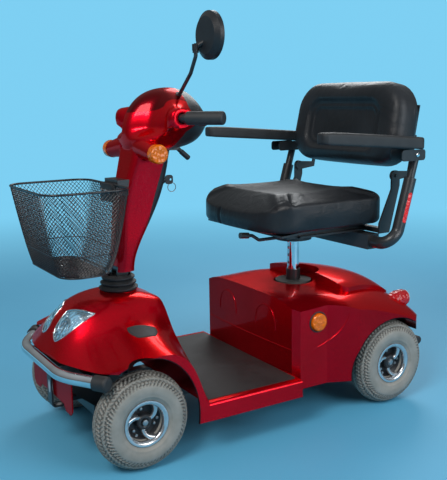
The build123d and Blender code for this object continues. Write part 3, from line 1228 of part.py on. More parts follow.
def basket():
    """Open mesh basket with a rolled rim and a hanger plate at the rear."""
    body = basket_form() - basket_form(BASKET_WALL)
    rim_outer = Pos(0, aft((BASKET_FRONT_AFT + BASKET_REAR_AFT) / 2), BASKET_TOP) * RectangleRounded(
        2 * BASKET_HALF_WIDTH, BASKET_REAR_AFT - BASKET_FRONT_AFT, 52)
    rim_inner = Pos(0, aft((BASKET_FRONT_AFT + BASKET_REAR_AFT) / 2), BASKET_TOP) * RectangleRounded(
        2 * BASKET_HALF_WIDTH - 12, BASKET_REAR_AFT - BASKET_FRONT_AFT - 12, 46)
    rim = extrude(rim_outer, 5) - extrude(rim_inner, 5)
    hanger = block((-40, 40), (BASKET_REAR_AFT - 4, BASKET_REAR_AFT + 0.5), (BASKET_TOP - 30, BASKET_TOP + 5))
    hanger -= basket_form()
    hook = block((-36, 36), (BASKET_REAR_AFT - 4, BASKET_REAR_AFT + 5.5), (BASKET_TOP - 3.5, BASKET_TOP + 5))
    return body + rim + hanger + hook


def handlebar_grips():
    """Soft sleeves on the swept ends of the handlebar, closed at the tips."""
    tip = point(GRIP_TIP[0], GRIP_TIP[1], BAR_HEIGHT)
    corner = point(BAR_BEND_X, BAR_AFT, BAR_HEIGHT)
    outward = (tip - corner).normalized()
    grip = rod(corner + outward * 13, tip + outward * 6, GRIP_RADIUS)
    grip = fillet(grip.faces().sort_by(Axis.X)[-1].edges(), 6)
    grip -= rod(corner, tip + outward * 0.1, BAR_RADIUS + 0.1)
    return both(grip)


def tiller_indicators():
    """Amber drum lenses on the column's side bosses."""
    turn_aft, turn_z = TURN_LAMP
    return both(round_lens(point(TURN_LAMP_X + FACE_GAP, turn_aft, turn_z), point(161, turn_aft, turn_z),
                           TURN_LAMP_RADIUS, 5))


def tilt_lever():
    """Lever under the console that releases the tiller's tilt."""
    lever_aft, lever_z = TILT_LEVER_PIVOT
    hub = rod(point(TILT_LEVER_X - 6, lever_aft, lever_z), point(TILT_LEVER_X + 6, lever_aft, lever_z), 8)
    handle = rod(point(TILT_LEVER_X, lever_aft, lever_z), point(TILT_LEVER_X, lever_aft + 38, lever_z - 32), 6)
    end = rod(point(TILT_LEVER_X, lever_aft + 16, lever_z - 13.5),
              point(TILT_LEVER_X, lever_aft + 40, lever_z - 33.7), 7.5)
    end = fillet(end.faces().sort_by(Axis.Z)[0].edges(), 4)
    return (hub + handle + end) - rod(point(0, lever_aft, lever_z), point(80, lever_aft, lever_z), 3 + RUNNING)


def wigwag_lever():
    """Thumb and finger paddles on one cross arm that turns about an upright pin."""
    arm = rod(point(-136, WIGWAG_AFT, WIGWAG_Z), point(136, WIGWAG_AFT, WIGWAG_Z), 4.5)
    arm += rod(point(0, WIGWAG_AFT, WIGWAG_Z - 14), point(0, WIGWAG_AFT, WIGWAG_Z + 13), 10)
    for side in (-1, 1):
        paddle = block((side * 112, side * 152), (WIGWAG_AFT - 2.5, WIGWAG_AFT + 2.5), (WIGWAG_Z - 15, WIGWAG_Z + 15))
        arm += fillet(paddle.edges().filter_by(Axis.Y), 9)
    return arm - rod(point(0, WIGWAG_AFT, WIGWAG_Z - 40), point(0, WIGWAG_AFT, WIGWAG_Z + 40), 4 + RUNNING)


def key_face(outer):
    """Distance aft of the rear cover's surface at the key."""
    probe = rod(point(KEY_PLACE[0], 100, KEY_PLACE[1]), point(KEY_PLACE[0], 300, KEY_PLACE[1]), 2)
    return (outer & probe).bounding_box().max.Y - FRONT_AXLE_Y


def key_barrel(face_aft):
    """Lock barrel in the rear cover, bored for the key's shank."""
    x, z = KEY_PLACE
    barrel = rod(point(x, face_aft - 14, z), point(x, face_aft + 5, z), 10)
    return barrel - rod(point(x, face_aft - 10, z), point(x, face_aft + 10, z), 3 + RUNNING)


def ignition_key(face_aft):
    """Key with a flat bow, standing out of the lock barrel."""
    x, z = KEY_PLACE
    shank = rod(point(x, face_aft - 8, z), point(x, face_aft + 12, z), 3)
    bow = block((x - 1.5, x + 1.5), (face_aft + 10, face_aft + 34), (z - 13, z + 13))
    bow = fillet(bow.edges().filter_by(Axis.X), 8)
    return (shank + bow) - rod(point(x - 5, face_aft + 27, z), point(x + 5, face_aft + 27, z), 3.5)


DIAL_RADIUS = 16.0
BUTTON_RADIUS = 8.0
BUTTON_X = 46.0


def speed_dial():
    """Speed knob with a grip of flutes and a shaft through the panel."""
    plane = panel_plane(0, -8)
    knob = extrude(plane.offset(SEAT_GAP) * Circle(DIAL_RADIUS), 11)
    knob = fillet(knob.faces().sort_by(Axis(plane.origin, plane.z_dir))[-1].edges(), 2)
    for turn in range(0, 360, 45):
        flute = plane.offset(SEAT_GAP + 3) * (Rot(0, 0, turn) * Pos(DIAL_RADIUS + 1.5, 0) * Circle(3))
        knob -= extrude(flute, 20)
    return knob + extrude(plane.offset(-10) * Circle(4), 12)


def horn_button():
    """Round push button in the panel."""
    plane = panel_plane(-BUTTON_X, -4)
    cap = extrude(plane.offset(-COVER_WALL - 4) * Circle(BUTTON_RADIUS), COVER_WALL + 9)
    return cap + extrude(plane.offset(-COVER_WALL - 6) * Circle(BUTTON_RADIUS + 2), 2)


def indicator_switch():
    """Rocker for the turn lamps."""
    plane = panel_plane(BUTTON_X, -4)
    rocker = extrude(plane.offset(-4) * Rectangle(22, 12), 8.5)
    return fillet(rocker.edges().filter_by(Axis(plane.origin, plane.y_dir)), 2)


def panel_with_holes(panel):
    """Control panel pierced for the dial shaft, the button and the rocker."""
    panel -= extrude(panel_plane(0, -8).offset(-40) * Circle(4 + RUNNING), 60)
    panel -= extrude(panel_plane(-BUTTON_X, -4).offset(-40) * Circle(BUTTON_RADIUS + SEAT_GAP), 60)
    return panel - extrude(panel_plane(BUTTON_X, -4).offset(-40) * Rectangle(24, 13), 60)


MIRROR_PIN = (190.0, 212.0, 1066.0)
MIRROR_CENTRE = (213.0, 236.0, 1095.0)
MIRROR_PIN_RADIUS = 4.0


def mirror_stem(outer):
    """Bent stem from the head's left shoulder up to the mirror's pivot pin."""
    x, distance, z = MIRROR_PIN
    stem = swept_rod([point(62, 222, 900), point(72, 224, 946), point(x - 34, distance + 3, z - 64),
                      point(x, distance, z - 22), point(x, distance, z - 8)], 12.0, 5)
    stem += rod(point(x, distance, z - 14), point(x, distance, z - 8 - SEAT_GAP), 8)
    stem += rod(point(x, distance, z - 10), point(x, distance, z + 10), MIRROR_PIN_RADIUS)
    foot = rod(point(66, 223, 920), point(68, 224, 950), 10)
    return largest((stem + foot) - outer)


def mirror_head():
    """Round mirror shell with a socket on its pivot pin."""
    x, distance, z = MIRROR_PIN
    centre = point(*MIRROR_CENTRE)
    shell = rod(centre, centre + Vector(0, 12, 0), MIRROR_RADIUS)
    dome = Plane(origin=centre, x_dir=(1, 0, 0), z_dir=(0, -1, 0))
    shell += loft([dome * Circle(MIRROR_RADIUS), dome.offset(10) * Circle(MIRROR_RADIUS - 14)], ruled=True)
    shell -= rod(centre + Vector(0, 9, 0), centre + Vector(0, 20, 0), MIRROR_RADIUS - 3)
    socket = rod(point(x, distance, z - 8), point(x, distance, z + 8), 9)
    neck = rod(point(x, distance, z), point(MIRROR_CENTRE[0] - 12, MIRROR_CENTRE[1] - 4, MIRROR_CENTRE[2] - 16), 7)
    bore = rod(point(x, distance, z - 20), point(x, distance, z + 20), MIRROR_PIN_RADIUS + RUNNING)
    return (shell + socket + neck) - bore


def mirror_glass():
    """Mirror disc set in the head's rear face."""
    centre = point(*MIRROR_CENTRE)
    return rod(centre + Vector(0, 9 + FACE_GAP, 0), centre + Vector(0, 11, 0), MIRROR_RADIUS - 3 - SEAT_GAP)


# ================================================================ write the nodes
def build():
    """Write every node."""
    os.makedirs("parts", exist_ok=True)
    save("chassis_frame", chassis_frame())
    save("transaxle", transaxle())
    save("battery_boxes", battery_boxes())
    save("controller", controller())
    save("nose_fairing", nose_fairing())
    save("nose_lower_panel", nose_lower_panel())
    save("headlight_reflectors", headlight_reflectors())
    save("headlight_lenses", headlight_lenses())
    save("front_bumper", front_bumper())
    save("bumper_caps", bumper_caps())
    save("floor_deck", floor_deck())
    save("floor_mat", floor_mat())
    save("rear_body_shell", rear_body_shell())
    save("rear_top_cover", rear_top_cover())
    save("post_collar", post_collar())
    save("seat_post_socket", seat_post_socket())
    save("body_indicator_lenses", body_indicator_lenses())
    save("tail_lamps", tail_lamps())
    save("steering_boot", steering_boot())
    save("steering_stem", steering_stem())
    for name, side in (("left", 1), ("right", -1)):
        save(f"knuckle_{name}", knuckle(side))
        save(f"tie_rod_{name}", tie_rod(side))
        wheel(f"front_{name}", side * FRONT_HALF_TRACK, 0, STUB_RADIUS + RUNNING, RIM_LIP - 12)
        wheel(f"rear_{name}", side * REAR_HALF_TRACK, WHEELBASE, DRIVE_SHAFT_RADIUS + RUNNING, RIM_LIP - 12)
    save("anti_tip_wheels", anti_tip_wheels())
    save("seat_post", seat_post())
    save("seat_frame", seat_frame())
    save("seat_cushion", seat_cushion())
    save("backrest_cushion", backrest_cushion())
    save("backrest_brackets", backrest_brackets())
    save("swivel_lever", swivel_lever())
    for name, place in (("left", lambda shape: shape), ("right", mirrored)):
        save(f"armrest_tube_{name}", place(armrest_tube()))
        save(f"armrest_pad_{name}", place(armrest_pad()))
    outer = tiller_outer()
    front, rear, hood, panel = split_skin()
    face_aft = key_face(outer)
    barrel = key_barrel(face_aft)
    save("tiller_front_cover", front)
    save("tiller_rear_cover", rear - rod(point(KEY_PLACE[0], 100, KEY_PLACE[1]),
                                         point(KEY_PLACE[0], 300, KEY_PLACE[1]), 10) + barrel)
    save("console_hood", hood)
    save("console_panel", panel_with_holes(panel))
    save("tiller_column", [tiller_column(), basket_bracket(outer)])
    save("handlebar_grips", handlebar_grips())
    save("tiller_indicators", tiller_indicators())
    save("tilt_lever", tilt_lever())
    save("wigwag_lever", wigwag_lever())
    save("ignition_key", ignition_key(face_aft))
    save("speed_dial", speed_dial())
    save("horn_button", horn_button())
    save("indicator_switch", indicator_switch())
    save("mirror_stem", mirror_stem(outer))
    save("mirror_head", mirror_head())
    save("mirror_glass", mirror_glass())
    save("basket", basket())


if __name__ == "__main__":
    build()
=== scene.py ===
from math import atan2, cos, pi, radians, sin, sqrt

import bmesh
import bpy
from mathutils import Matrix, Vector
from mathutils.bvhtree import BVHTree


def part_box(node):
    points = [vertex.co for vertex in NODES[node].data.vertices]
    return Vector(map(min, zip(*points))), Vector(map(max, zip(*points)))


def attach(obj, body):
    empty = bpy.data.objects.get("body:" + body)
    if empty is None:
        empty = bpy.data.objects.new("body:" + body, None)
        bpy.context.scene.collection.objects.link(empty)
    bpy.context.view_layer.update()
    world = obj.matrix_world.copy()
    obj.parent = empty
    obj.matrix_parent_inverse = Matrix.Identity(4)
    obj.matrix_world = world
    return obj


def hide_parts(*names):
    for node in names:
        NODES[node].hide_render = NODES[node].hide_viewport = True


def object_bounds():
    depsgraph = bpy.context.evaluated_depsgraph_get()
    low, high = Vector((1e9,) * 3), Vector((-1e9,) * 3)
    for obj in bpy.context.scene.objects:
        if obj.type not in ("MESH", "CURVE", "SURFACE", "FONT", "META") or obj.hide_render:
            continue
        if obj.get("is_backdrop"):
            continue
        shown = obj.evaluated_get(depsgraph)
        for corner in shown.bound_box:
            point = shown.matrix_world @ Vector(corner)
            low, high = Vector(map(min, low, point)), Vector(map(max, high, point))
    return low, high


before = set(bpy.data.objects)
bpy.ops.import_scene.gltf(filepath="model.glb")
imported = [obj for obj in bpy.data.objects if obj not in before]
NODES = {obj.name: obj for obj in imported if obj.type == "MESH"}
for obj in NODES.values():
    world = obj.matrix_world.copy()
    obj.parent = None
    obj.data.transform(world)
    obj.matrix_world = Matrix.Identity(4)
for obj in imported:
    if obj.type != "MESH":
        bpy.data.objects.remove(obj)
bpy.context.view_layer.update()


# ---------------------------------------------------------------- studio
# A pale floor that runs on behind the scooter, three soft lamps and a plain
# pale surround that shows in chrome and glass.
def fresh_material(name):
    """An empty node material: the material, its nodes and links, and its Principled shader."""
    material = bpy.data.materials.new(name)
    material.use_nodes = True
    nodes, links = material.node_tree.nodes, material.node_tree.links
    return material, nodes, links, nodes["Principled BSDF"]


def add_node(nodes, kind, values=None, **settings):
    """A new shader node, with its settings and the values of its inputs."""
    node = nodes.new("ShaderNode" + kind)
    for name, value in settings.items():
        setattr(node, name, value)
    for key, value in (values or {}).items():
        node.inputs[key].default_value = value
    return node


def texture(nodes, links, vector, kind, values, **settings):
    """A texture node on given coordinates."""
    node = add_node(nodes, kind, values, **settings)
    links.new(vector, node.inputs["Vector"])
    return node


def object_coordinates(nodes):
    """Object coordinates in metres."""
    return add_node(nodes, "TexCoord").outputs["Object"]


def noise_colours(nodes, links, vector, scale, dark, light, low=0.3, high=0.7):
    """Colour that wanders between two shades, and the pattern that it follows."""
    wander = texture(nodes, links, vector, "TexNoise", {"Scale": scale, "Detail": 4.0})
    ramp = add_node(nodes, "ValToRGB")
    for stop, position, colour in zip(ramp.color_ramp.elements, (low, high), (dark, light)):
        stop.position = position
        stop.color = (*colour, 1)
    links.new(wander.outputs["Fac"], ramp.inputs["Fac"])
    return ramp.outputs["Color"], wander.outputs["Fac"]


def roughness_range(nodes, links, factor, low, high):
    """Roughness between two values, following a pattern."""
    spread = add_node(nodes, "MapRange", {"To Min": low, "To Max": high})
    links.new(factor, spread.inputs["Value"])
    return spread.outputs["Result"]


def add_bump(nodes, links, shader, height, strength, distance):
    """Bump on a shader from a height pattern, after any bump it already has."""
    bump = add_node(nodes, "Bump", {"Strength": strength, "Distance": distance})
    links.new(height, bump.inputs["Height"])
    if shader.inputs["Normal"].links:
        links.new(shader.inputs["Normal"].links[0].from_socket, bump.inputs["Normal"])
    links.new(bump.outputs["Normal"], shader.inputs["Normal"])


def linked(name, data):
    """A new object in the scene."""
    piece = bpy.data.objects.new(name, data)
    bpy.context.scene.collection.objects.link(piece)
    return piece


HAZE = (0.22, 0.66, 0.94, 1)
HAZE_STRENGTH = 0.95
HAZE_FROM, HAZE_TO = 1.6, 4.5
FLOOR_SIZE = 60

floor_paint, nodes, links, shader = fresh_material("studio_floor")
shader.inputs["Roughness"].default_value = 0.55
vector = object_coordinates(nodes)
colour, _ = noise_colours(nodes, links, vector, 0.8, (0.09, 0.38, 0.60), (0.11, 0.42, 0.64))
links.new(colour, shader.inputs["Base Color"])
reach = add_node(nodes, "VectorMath", operation="LENGTH")
links.new(vector, reach.inputs[0])
far = add_node(nodes, "MapRange", {"From Min": HAZE_FROM, "From Max": HAZE_TO},
               interpolation_type="SMOOTHSTEP")
links.new(reach.outputs["Value"], far.inputs["Value"])
haze = add_node(nodes, "Emission", {"Color": HAZE, "Strength": HAZE_STRENGTH})
blend = add_node(nodes, "MixShader")
links.new(far.outputs["Result"], blend.inputs["Fac"])
links.new(shader.outputs["BSDF"], blend.inputs[1])
links.new(haze.outputs["Emission"], blend.inputs[2])
links.new(blend.outputs["Shader"], nodes["Material Output"].inputs["Surface"])
bpy.ops.mesh.primitive_plane_add(size=FLOOR_SIZE, location=(0, 0, 0))
floor = bpy.context.object
floor.name = "studio_floor"
floor.data.materials.append(floor_paint)
floor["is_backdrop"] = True


def area_lamp(name, place, aim, size, watts, colour):
    """Soft square lamp that faces a point."""
    lamp = bpy.data.lights.new(name, "AREA")
    lamp.size = size
    lamp.energy = watts
    lamp.color = colour
    holder = linked(name, lamp)
    holder.location = place
    holder.rotation_euler = (Vector(aim) - Vector(place)).to_track_quat("-Z", "Y").to_euler()


area_lamp("key_lamp", (1.6, -2.6, 3.2), (0.0, 0.0, 0.5), 1.4, 88, (1.0, 0.98, 0.95))
area_lamp("fill_lamp", (3.2, 1.2, 1.8), (0.0, 0.0, 0.5), 2.2, 72, (0.92, 0.96, 1.0))
area_lamp("back_lamp", (-2.4, 2.2, 2.8), (0.0, 0.1, 0.6), 1.8, 55, (0.95, 0.98, 1.0))

REFLECTED_STRENGTH = 0.26
REFLECTED_SHADE = (0.80, 0.88, 0.92, 1)
world = bpy.data.worlds.new("pale_surround")
bpy.context.scene.world = world
world.use_nodes = True
nodes, links = world.node_tree.nodes, world.node_tree.links
background = nodes["Background"]
path = add_node(nodes, "LightPath")
seen = add_node(nodes, "Math", operation="MAXIMUM")
links.new(path.outputs["Is Camera Ray"], seen.inputs[0])
links.new(path.outputs["Is Transmission Ray"], seen.inputs[1])
height = add_node(nodes, "SeparateXYZ")
links.new(add_node(nodes, "TexCoord").outputs["Generated"], height.inputs["Vector"])
rise = add_node(nodes, "MapRange", {"From Max": 0.8, "To Min": 0.45, "To Max": 1.7})
links.new(height.outputs["Z"], rise.inputs["Value"])
dimmed = add_node(nodes, "Math", {1: REFLECTED_STRENGTH}, operation="MULTIPLY")
links.new(rise.outputs["Result"], dimmed.inputs[0])
level = add_node(nodes, "MapRange", {"To Max": HAZE_STRENGTH})
links.new(seen.outputs["Value"], level.inputs["Value"])
links.new(dimmed.outputs["Value"], level.inputs["To Min"])
links.new(level.outputs["Result"], background.inputs["Strength"])
shade = add_node(nodes, "Mix", {"A": REFLECTED_SHADE, "B": HAZE}, data_type="RGBA")
links.new(seen.outputs["Value"], shade.inputs["Factor"])
links.new(shade.outputs["Result"], background.inputs["Color"])
bpy.context.scene.view_settings.view_transform = "Standard"

camera = linked("camera", bpy.data.cameras.new("camera"))
camera.location = (1.9534, -1.1835, 0.9464)
camera.rotation_euler = (radians(79.399), radians(0.897), radians(58.453))
camera.data.lens = 58.2
camera.data.sensor_width = 36.0
bpy.context.scene.camera = camera


# ---------------------------------------------------------------- red body panels
# The nose, deck, rear body and tiller covers are moulded plastic in deep
# metallic red under a clear coat, with fine flake and faint orange peel.
def paint_nodes(material, *names):
    """Gives CAD nodes one material."""
    for name in names:
        NODES[name].data.materials.clear()
        NODES[name].data.materials.append(material)


def region(nodes, links, centre, reach):
    """1 within an ellipsoid and its mirror image across the middle plane, else 0.

    A reach of 0 is endless.
    """
    place = object_coordinates(nodes)
    shrink = tuple(1 / r if r else 0.0 for r in reach)
    apart = add_node(nodes, "VectorMath", operation="ABSOLUTE")
    fold = add_node(nodes, "VectorMath", {1: (1, 0, 0)}, operation="MULTIPLY")
    folded = add_node(nodes, "VectorMath", {1: (0, 1, 1)}, operation="MULTIPLY_ADD")
    from_centre = add_node(nodes, "VectorMath", {1: centre}, operation="SUBTRACT")
    size = add_node(nodes, "VectorMath", {1: shrink}, operation="MULTIPLY")
    far = add_node(nodes, "VectorMath", operation="LENGTH")
    within = add_node(nodes, "Math", {1: 1.0}, operation="LESS_THAN")
    links.new(place, apart.inputs[0])
    links.new(apart.outputs["Vector"], fold.inputs[0])
    links.new(place, folded.inputs[0])
    links.new(fold.outputs["Vector"], folded.inputs[2])
    links.new(folded.outputs["Vector"], from_centre.inputs[0])
    links.new(from_centre.outputs["Vector"], size.inputs[0])
    links.new(size.outputs["Vector"], far.inputs[0])
    links.new(far.outputs["Value"], within.inputs[0])
    return within.outputs["Value"]


def paint_over(nodes, links, shader, mask, other):
    """Gives a shader another colour where the mask is 1."""
    base = shader.inputs["Base Color"]
    swap = add_node(nodes, "Mix", {"B": (*other, 1)}, data_type="RGBA")
    links.new(mask, swap.inputs["Factor"])
    links.new(base.links[0].from_socket, swap.inputs["A"])
    links.new(swap.outputs["Result"], base)


def red_paint(name, shades, black_regions=()):
    """Metallic flake paint between two shades under lacquer, painted black within given regions."""
    material, nodes, links, shader = fresh_material(name)
    vector = object_coordinates(nodes)
    colour, _ = noise_colours(nodes, links, vector, 5.0, *shades)
    links.new(colour, shader.inputs["Base Color"])
    # Black over the given regions: the wheel arches, with a thin painted shadow gap along their lips.
    for centre, reach in black_regions:
        paint_over(nodes, links, shader, region(nodes, links, centre, reach), ARCH_AND_SHADOW_GAP_BLACK)
    shader.inputs["Metallic"].default_value = 0.85
    shader.inputs["Specular Tint"].default_value = (1.0, 0.06, 0.09, 1)
    flake = texture(nodes, links, vector, "TexVoronoi", {"Scale": 1400.0})
    sheen = roughness_range(nodes, links, flake.outputs["Distance"], 0.20, 0.34)
    links.new(sheen, shader.inputs["Roughness"])
    peel = texture(nodes, links, vector, "TexNoise", {"Scale": 160.0})
    add_bump(nodes, links, shader, peel.outputs["Fac"], 0.05, 0.0006)
    shader.inputs["Coat Weight"].default_value = 0.18
    shader.inputs["Coat Roughness"].default_value = 0.05
    return material


# Black for the wheel arches, also laid as a thin painted shadow gap along the arch lips.
ARCH_AND_SHADOW_GAP_BLACK = (0.008, 0.008, 0.009)
BRIGHT_REDS = ((0.52, 0.001, 0.008), (0.68, 0.002, 0.014))
# A darker copy of the bright red for the tiller's hood: painted shade, not a different paint.
PAINTED_SHADE_REDS = ((0.11, 0.001, 0.003), (0.16, 0.001, 0.005))
# Each arch region runs a little past the arch lip, so the red outer face gets a thin black edging there as
# painted shadow gap.
FRONT_ARCH = ((0.0, -0.388, 0.130), (0.0, 0.1425, 0.1755))
REAR_ARCH = ((0.0, 0.434, 0.118), (0.0, 0.1605, 0.1565))
candy_red = red_paint("candy_red", BRIGHT_REDS)
painted_shade_red = red_paint("painted_shade_red", PAINTED_SHADE_REDS)
nose_red = red_paint("nose_red", BRIGHT_REDS, [FRONT_ARCH])
body_red = red_paint("body_red", BRIGHT_REDS, [REAR_ARCH])
paint_nodes(candy_red, "floor_deck", "rear_top_cover", "tiller_front_cover", "nose_lower_panel")
paint_nodes(nose_red, "nose_fairing")
paint_nodes(body_red, "rear_body_shell")
# The hood gets the darker copy of the red as painted shade.
paint_nodes(painted_shade_red, "console_hood")


# ---------------------------------------------------------------- black moulded plastic
# The rear of the tiller, the control panel, levers and knobs are grained
# black plastic, slightly shiny where hands rub it.
def worn_material(name, scale, dark, light, polish, spread=(0.3, 0.7)):
    """A material whose colour and roughness wander together, with its nodes and coordinates."""
    material, nodes, links, shader = fresh_material(name)
    vector = object_coordinates(nodes)
    colour, wander = noise_colours(nodes, links, vector, scale, dark, light, *spread)
    links.new(colour, shader.inputs["Base Color"])
    links.new(roughness_range(nodes, links, wander, *polish), shader.inputs["Roughness"])
    return material, nodes, links, shader, vector


def moulded_plastic(name, dark, light, low, high, grain):
    """Moulded plastic with a fine spark-eroded grain."""
    material, nodes, links, shader, vector = worn_material(name, 14.0, dark, light, (low, high))
    shader.inputs["Specular IOR Level"].default_value = 0.35
    pits = texture(nodes, links, vector, "TexNoise", {"Scale": grain, "Detail": 2.0})
    add_bump(nodes, links, shader, pits.outputs["Fac"], 0.25, 0.0005)
    return material


black_plastic = moulded_plastic("black_plastic", (0.010, 0.010, 0.012), (0.020, 0.020, 0.022), 0.34, 0.5,
                                900.0)
battery_grey = moulded_plastic("battery_grey", (0.035, 0.036, 0.04), (0.05, 0.05, 0.055), 0.5, 0.6, 500.0)
paint_nodes(black_plastic, "tiller_rear_cover", "console_panel", "tilt_lever", "wigwag_lever", "speed_dial",
            "horn_button", "indicator_switch", "mirror_head", "ignition_key")
paint_nodes(battery_grey, "battery_boxes")


# ---------------------------------------------------------------- rubber
# The grips, bellows boot, bumper sleeves, rollers and post ring are soft
# black rubber, dull with a trace of dust.
def soft_rubber(name, dark, light, grain=420.0):
    """Dull rubber with a dusty bloom."""
    material, nodes, links, shader, vector = worn_material(name, 30.0, dark, light, (0.5, 0.72), (0.35, 0.8))
    fine = texture(nodes, links, vector, "TexNoise", {"Scale": grain})
    add_bump(nodes, links, shader, fine.outputs["Fac"], 0.2, 0.0004)
    return material


black_rubber = soft_rubber("black_rubber", (0.012, 0.012, 0.013), (0.026, 0.026, 0.027))
ring_rubber = soft_rubber("ring_rubber", (0.05, 0.052, 0.05), (0.075, 0.075, 0.07))
paint_nodes(black_rubber, "handlebar_grips", "steering_boot", "bumper_caps", "anti_tip_wheels")
paint_nodes(ring_rubber, "post_collar")


# ---------------------------------------------------------------- metals
# The frame is powder coated, the linkage plain steel, the gear case cast
# aluminium, and the bumper and seat post are chromed.
def metal(name, colour, metallic, low, high, scratch, other=None):
    """Metal or coated metal with fine, uneven polish, and one region in another colour if it is given."""
    darker = tuple(0.82 * c for c in colour)
    material, nodes, links, shader, vector = worn_material(name, 25.0, darker, colour, (low, high))
    shader.inputs["Metallic"].default_value = metallic
    if other:
        centre, reach, shade = other
        paint_over(nodes, links, shader, region(nodes, links, centre, reach), shade)
    marks = texture(nodes, links, vector, "TexNoise", {"Scale": scratch})
    add_bump(nodes, links, shader, marks.outputs["Fac"], 0.08, 0.0004)
    return material


powder_black = metal("powder_black", (0.022, 0.022, 0.024), 0.0, 0.28, 0.42, 600.0)
plain_steel = metal("plain_steel", (0.42, 0.42, 0.43), 1.0, 0.3, 0.45, 300.0)
cast_metal = metal("cast_metal", (0.30, 0.30, 0.31), 0.9, 0.45, 0.6, 220.0)
chrome = metal("chrome", (0.78, 0.79, 0.81), 1.0, 0.04, 0.10, 90.0)
silver_paint = metal("silver_paint", (0.62, 0.63, 0.65), 0.9, 0.16, 0.26, 400.0)
frame_black = metal("frame_black", (0.022, 0.022, 0.024), 0.0, 0.28, 0.42, 600.0,
                    ((0.0, -0.531, 0.178), (0.024, 0.0225, 0.063), (0.42, 0.43, 0.44)))
paint_nodes(frame_black, "chassis_frame")
paint_nodes(powder_black, "seat_post_socket", "knuckle_left", "knuckle_right", "tiller_column",
            "mirror_stem", "seat_frame", "backrest_brackets", "armrest_tube_left", "armrest_tube_right",
            "swivel_lever", "steering_stem")
paint_nodes(plain_steel, "tie_rod_left", "tie_rod_right")
paint_nodes(cast_metal, "transaxle", "controller")
paint_nodes(chrome, "front_bumper", "seat_post")


# ---------------------------------------------------------------- lamps
# Amber and red lenses are tinted acrylic over bright bowls; the headlights
# are clear lenses over metallised reflectors.
def lens_material(name, colour, transmission, roughness):
    """Tinted acrylic with a faceted inner face."""
    material, nodes, links, shader = fresh_material(name)
    vector = object_coordinates(nodes)
    darker = tuple(0.75 * c for c in colour)
    shade, _ = noise_colours(nodes, links, vector, 60.0, darker, colour)
    links.new(shade, shader.inputs["Base Color"])
    shader.inputs["Transmission Weight"].default_value = transmission
    shader.inputs["Roughness"].default_value = roughness
    shader.inputs["IOR"].default_value = 1.45
    facets = texture(nodes, links, vector, "TexVoronoi", {"Scale": 90.0})
    add_bump(nodes, links, shader, facets.outputs["Distance"], 0.8, 0.004)
    return material


amber_lens = lens_material("amber_lens", (0.86, 0.17, 0.001), 0.10, 0.06)
red_lens = lens_material("red_lens", (0.60, 0.01, 0.015), 0.25, 0.08)
clear_lens = lens_material("clear_lens", (0.97, 0.98, 0.99), 1.0, 0.01)
reflector = metal("reflector", (0.88, 0.89, 0.90), 0.75, 0.12, 0.24, 70.0)
silvered = metal("silvered_glass", (0.86, 0.88, 0.89), 1.0, 0.01, 0.03, 20.0)
paint_nodes(amber_lens, "body_indicator_lenses", "tiller_indicators")
paint_nodes(red_lens, "tail_lamps")
paint_nodes(clear_lens, "headlight_lenses")
paint_nodes(reflector, "headlight_reflectors")
paint_nodes(silvered, "mirror_glass")


# ---------------------------------------------------------------- tyres
# Pneumatic tyres in non-marking grey rubber: a smooth sidewall and staggered
# wavy blocks over the tread.
TYRE_RADIUS = 0.130
TYRE_SECTION = 0.042
SECTION_CENTRE = TYRE_RADIUS - TYRE_SECTION
TREAD_DEPTH = 0.0034
TREAD_HALF_ANGLE = radians(74)
SIDEWALL_ANGLE = radians(84)
RIB_ANGLE = radians(112)
SIDEWALL_RIB = 0.0012
BLOCKS_ROUND = 66
TREAD_ROWS = 7
STEPS_ROUND, STEPS_ACROSS = 528, 112
# Darker grey for the tread grooves: painted shade in the recesses.
PAINTED_GROOVE_SHADE = (0.075, 0.07, 0.062)
CORNERS = ("front_left", "front_right", "rear_left", "rear_right")
ALONG_X = (0, pi / 2, 0)
ALONG_Y = (pi / 2, 0, 0)


def activate(piece):
    """Leaves only this piece selected, and active."""
    bpy.ops.object.select_all(action="DESELECT")
    piece.select_set(True)
    bpy.context.view_layer.objects.active = piece


def smooth(piece, angle):
    """Smooth shading up to an angle between faces."""
    activate(piece)
    bpy.ops.object.shade_smooth_by_angle(angle=radians(angle))


def settled():
    """The object just added, with its place, turn and size put into its mesh."""
    piece = bpy.context.object
    activate(piece)
    bpy.ops.object.transform_apply(location=True, rotation=True, scale=True)
    return piece


def added_box(size, place=(0, 0, 0)):
    """Box of a size about a place."""
    bpy.ops.mesh.primitive_cube_add(size=1, location=place, scale=size)
    return settled()


def added_cylinder(radius, depth, place, turn=(0, 0, 0), sides=24):
    """Cylinder about a place, along Z or turned from it."""
    bpy.ops.mesh.primitive_cylinder_add(vertices=sides, radius=radius, depth=depth, location=place,
                                        rotation=turn)
    return settled()


def added_torus(radius, wire, place=(0, 0, 0), turn=(0, 0, 0), steps=(56, 12)):
    """Ring of round wire about a place, about Z or turned from it."""
    bpy.ops.mesh.primitive_torus_add(major_segments=steps[0], minor_segments=steps[1], major_radius=radius,
                                     minor_radius=wire, location=place, rotation=turn)
    return settled()


def apply_modifiers(piece):
    """Applies every modifier of a piece in order."""
    activate(piece)
    for modifier in list(piece.modifiers):
        bpy.ops.object.modifier_apply(modifier=modifier.name)


def finish_piece(piece, name, material, body, smooth_angle=None):
    """Names a piece and gives it its material and body, and its smooth shading if an angle is given."""
    if smooth_angle:
        smooth(piece, smooth_angle)
    piece.name = name
    piece.data.name = name
    piece.data.materials.clear()
    piece.data.materials.append(material)
    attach(piece, body)


def groove(distance, half_width):
    """1 on a groove's centre line, 0 beyond its half width."""
    return max(0.0, 1.0 - (distance / half_width) ** 4) if distance < half_width else 0.0


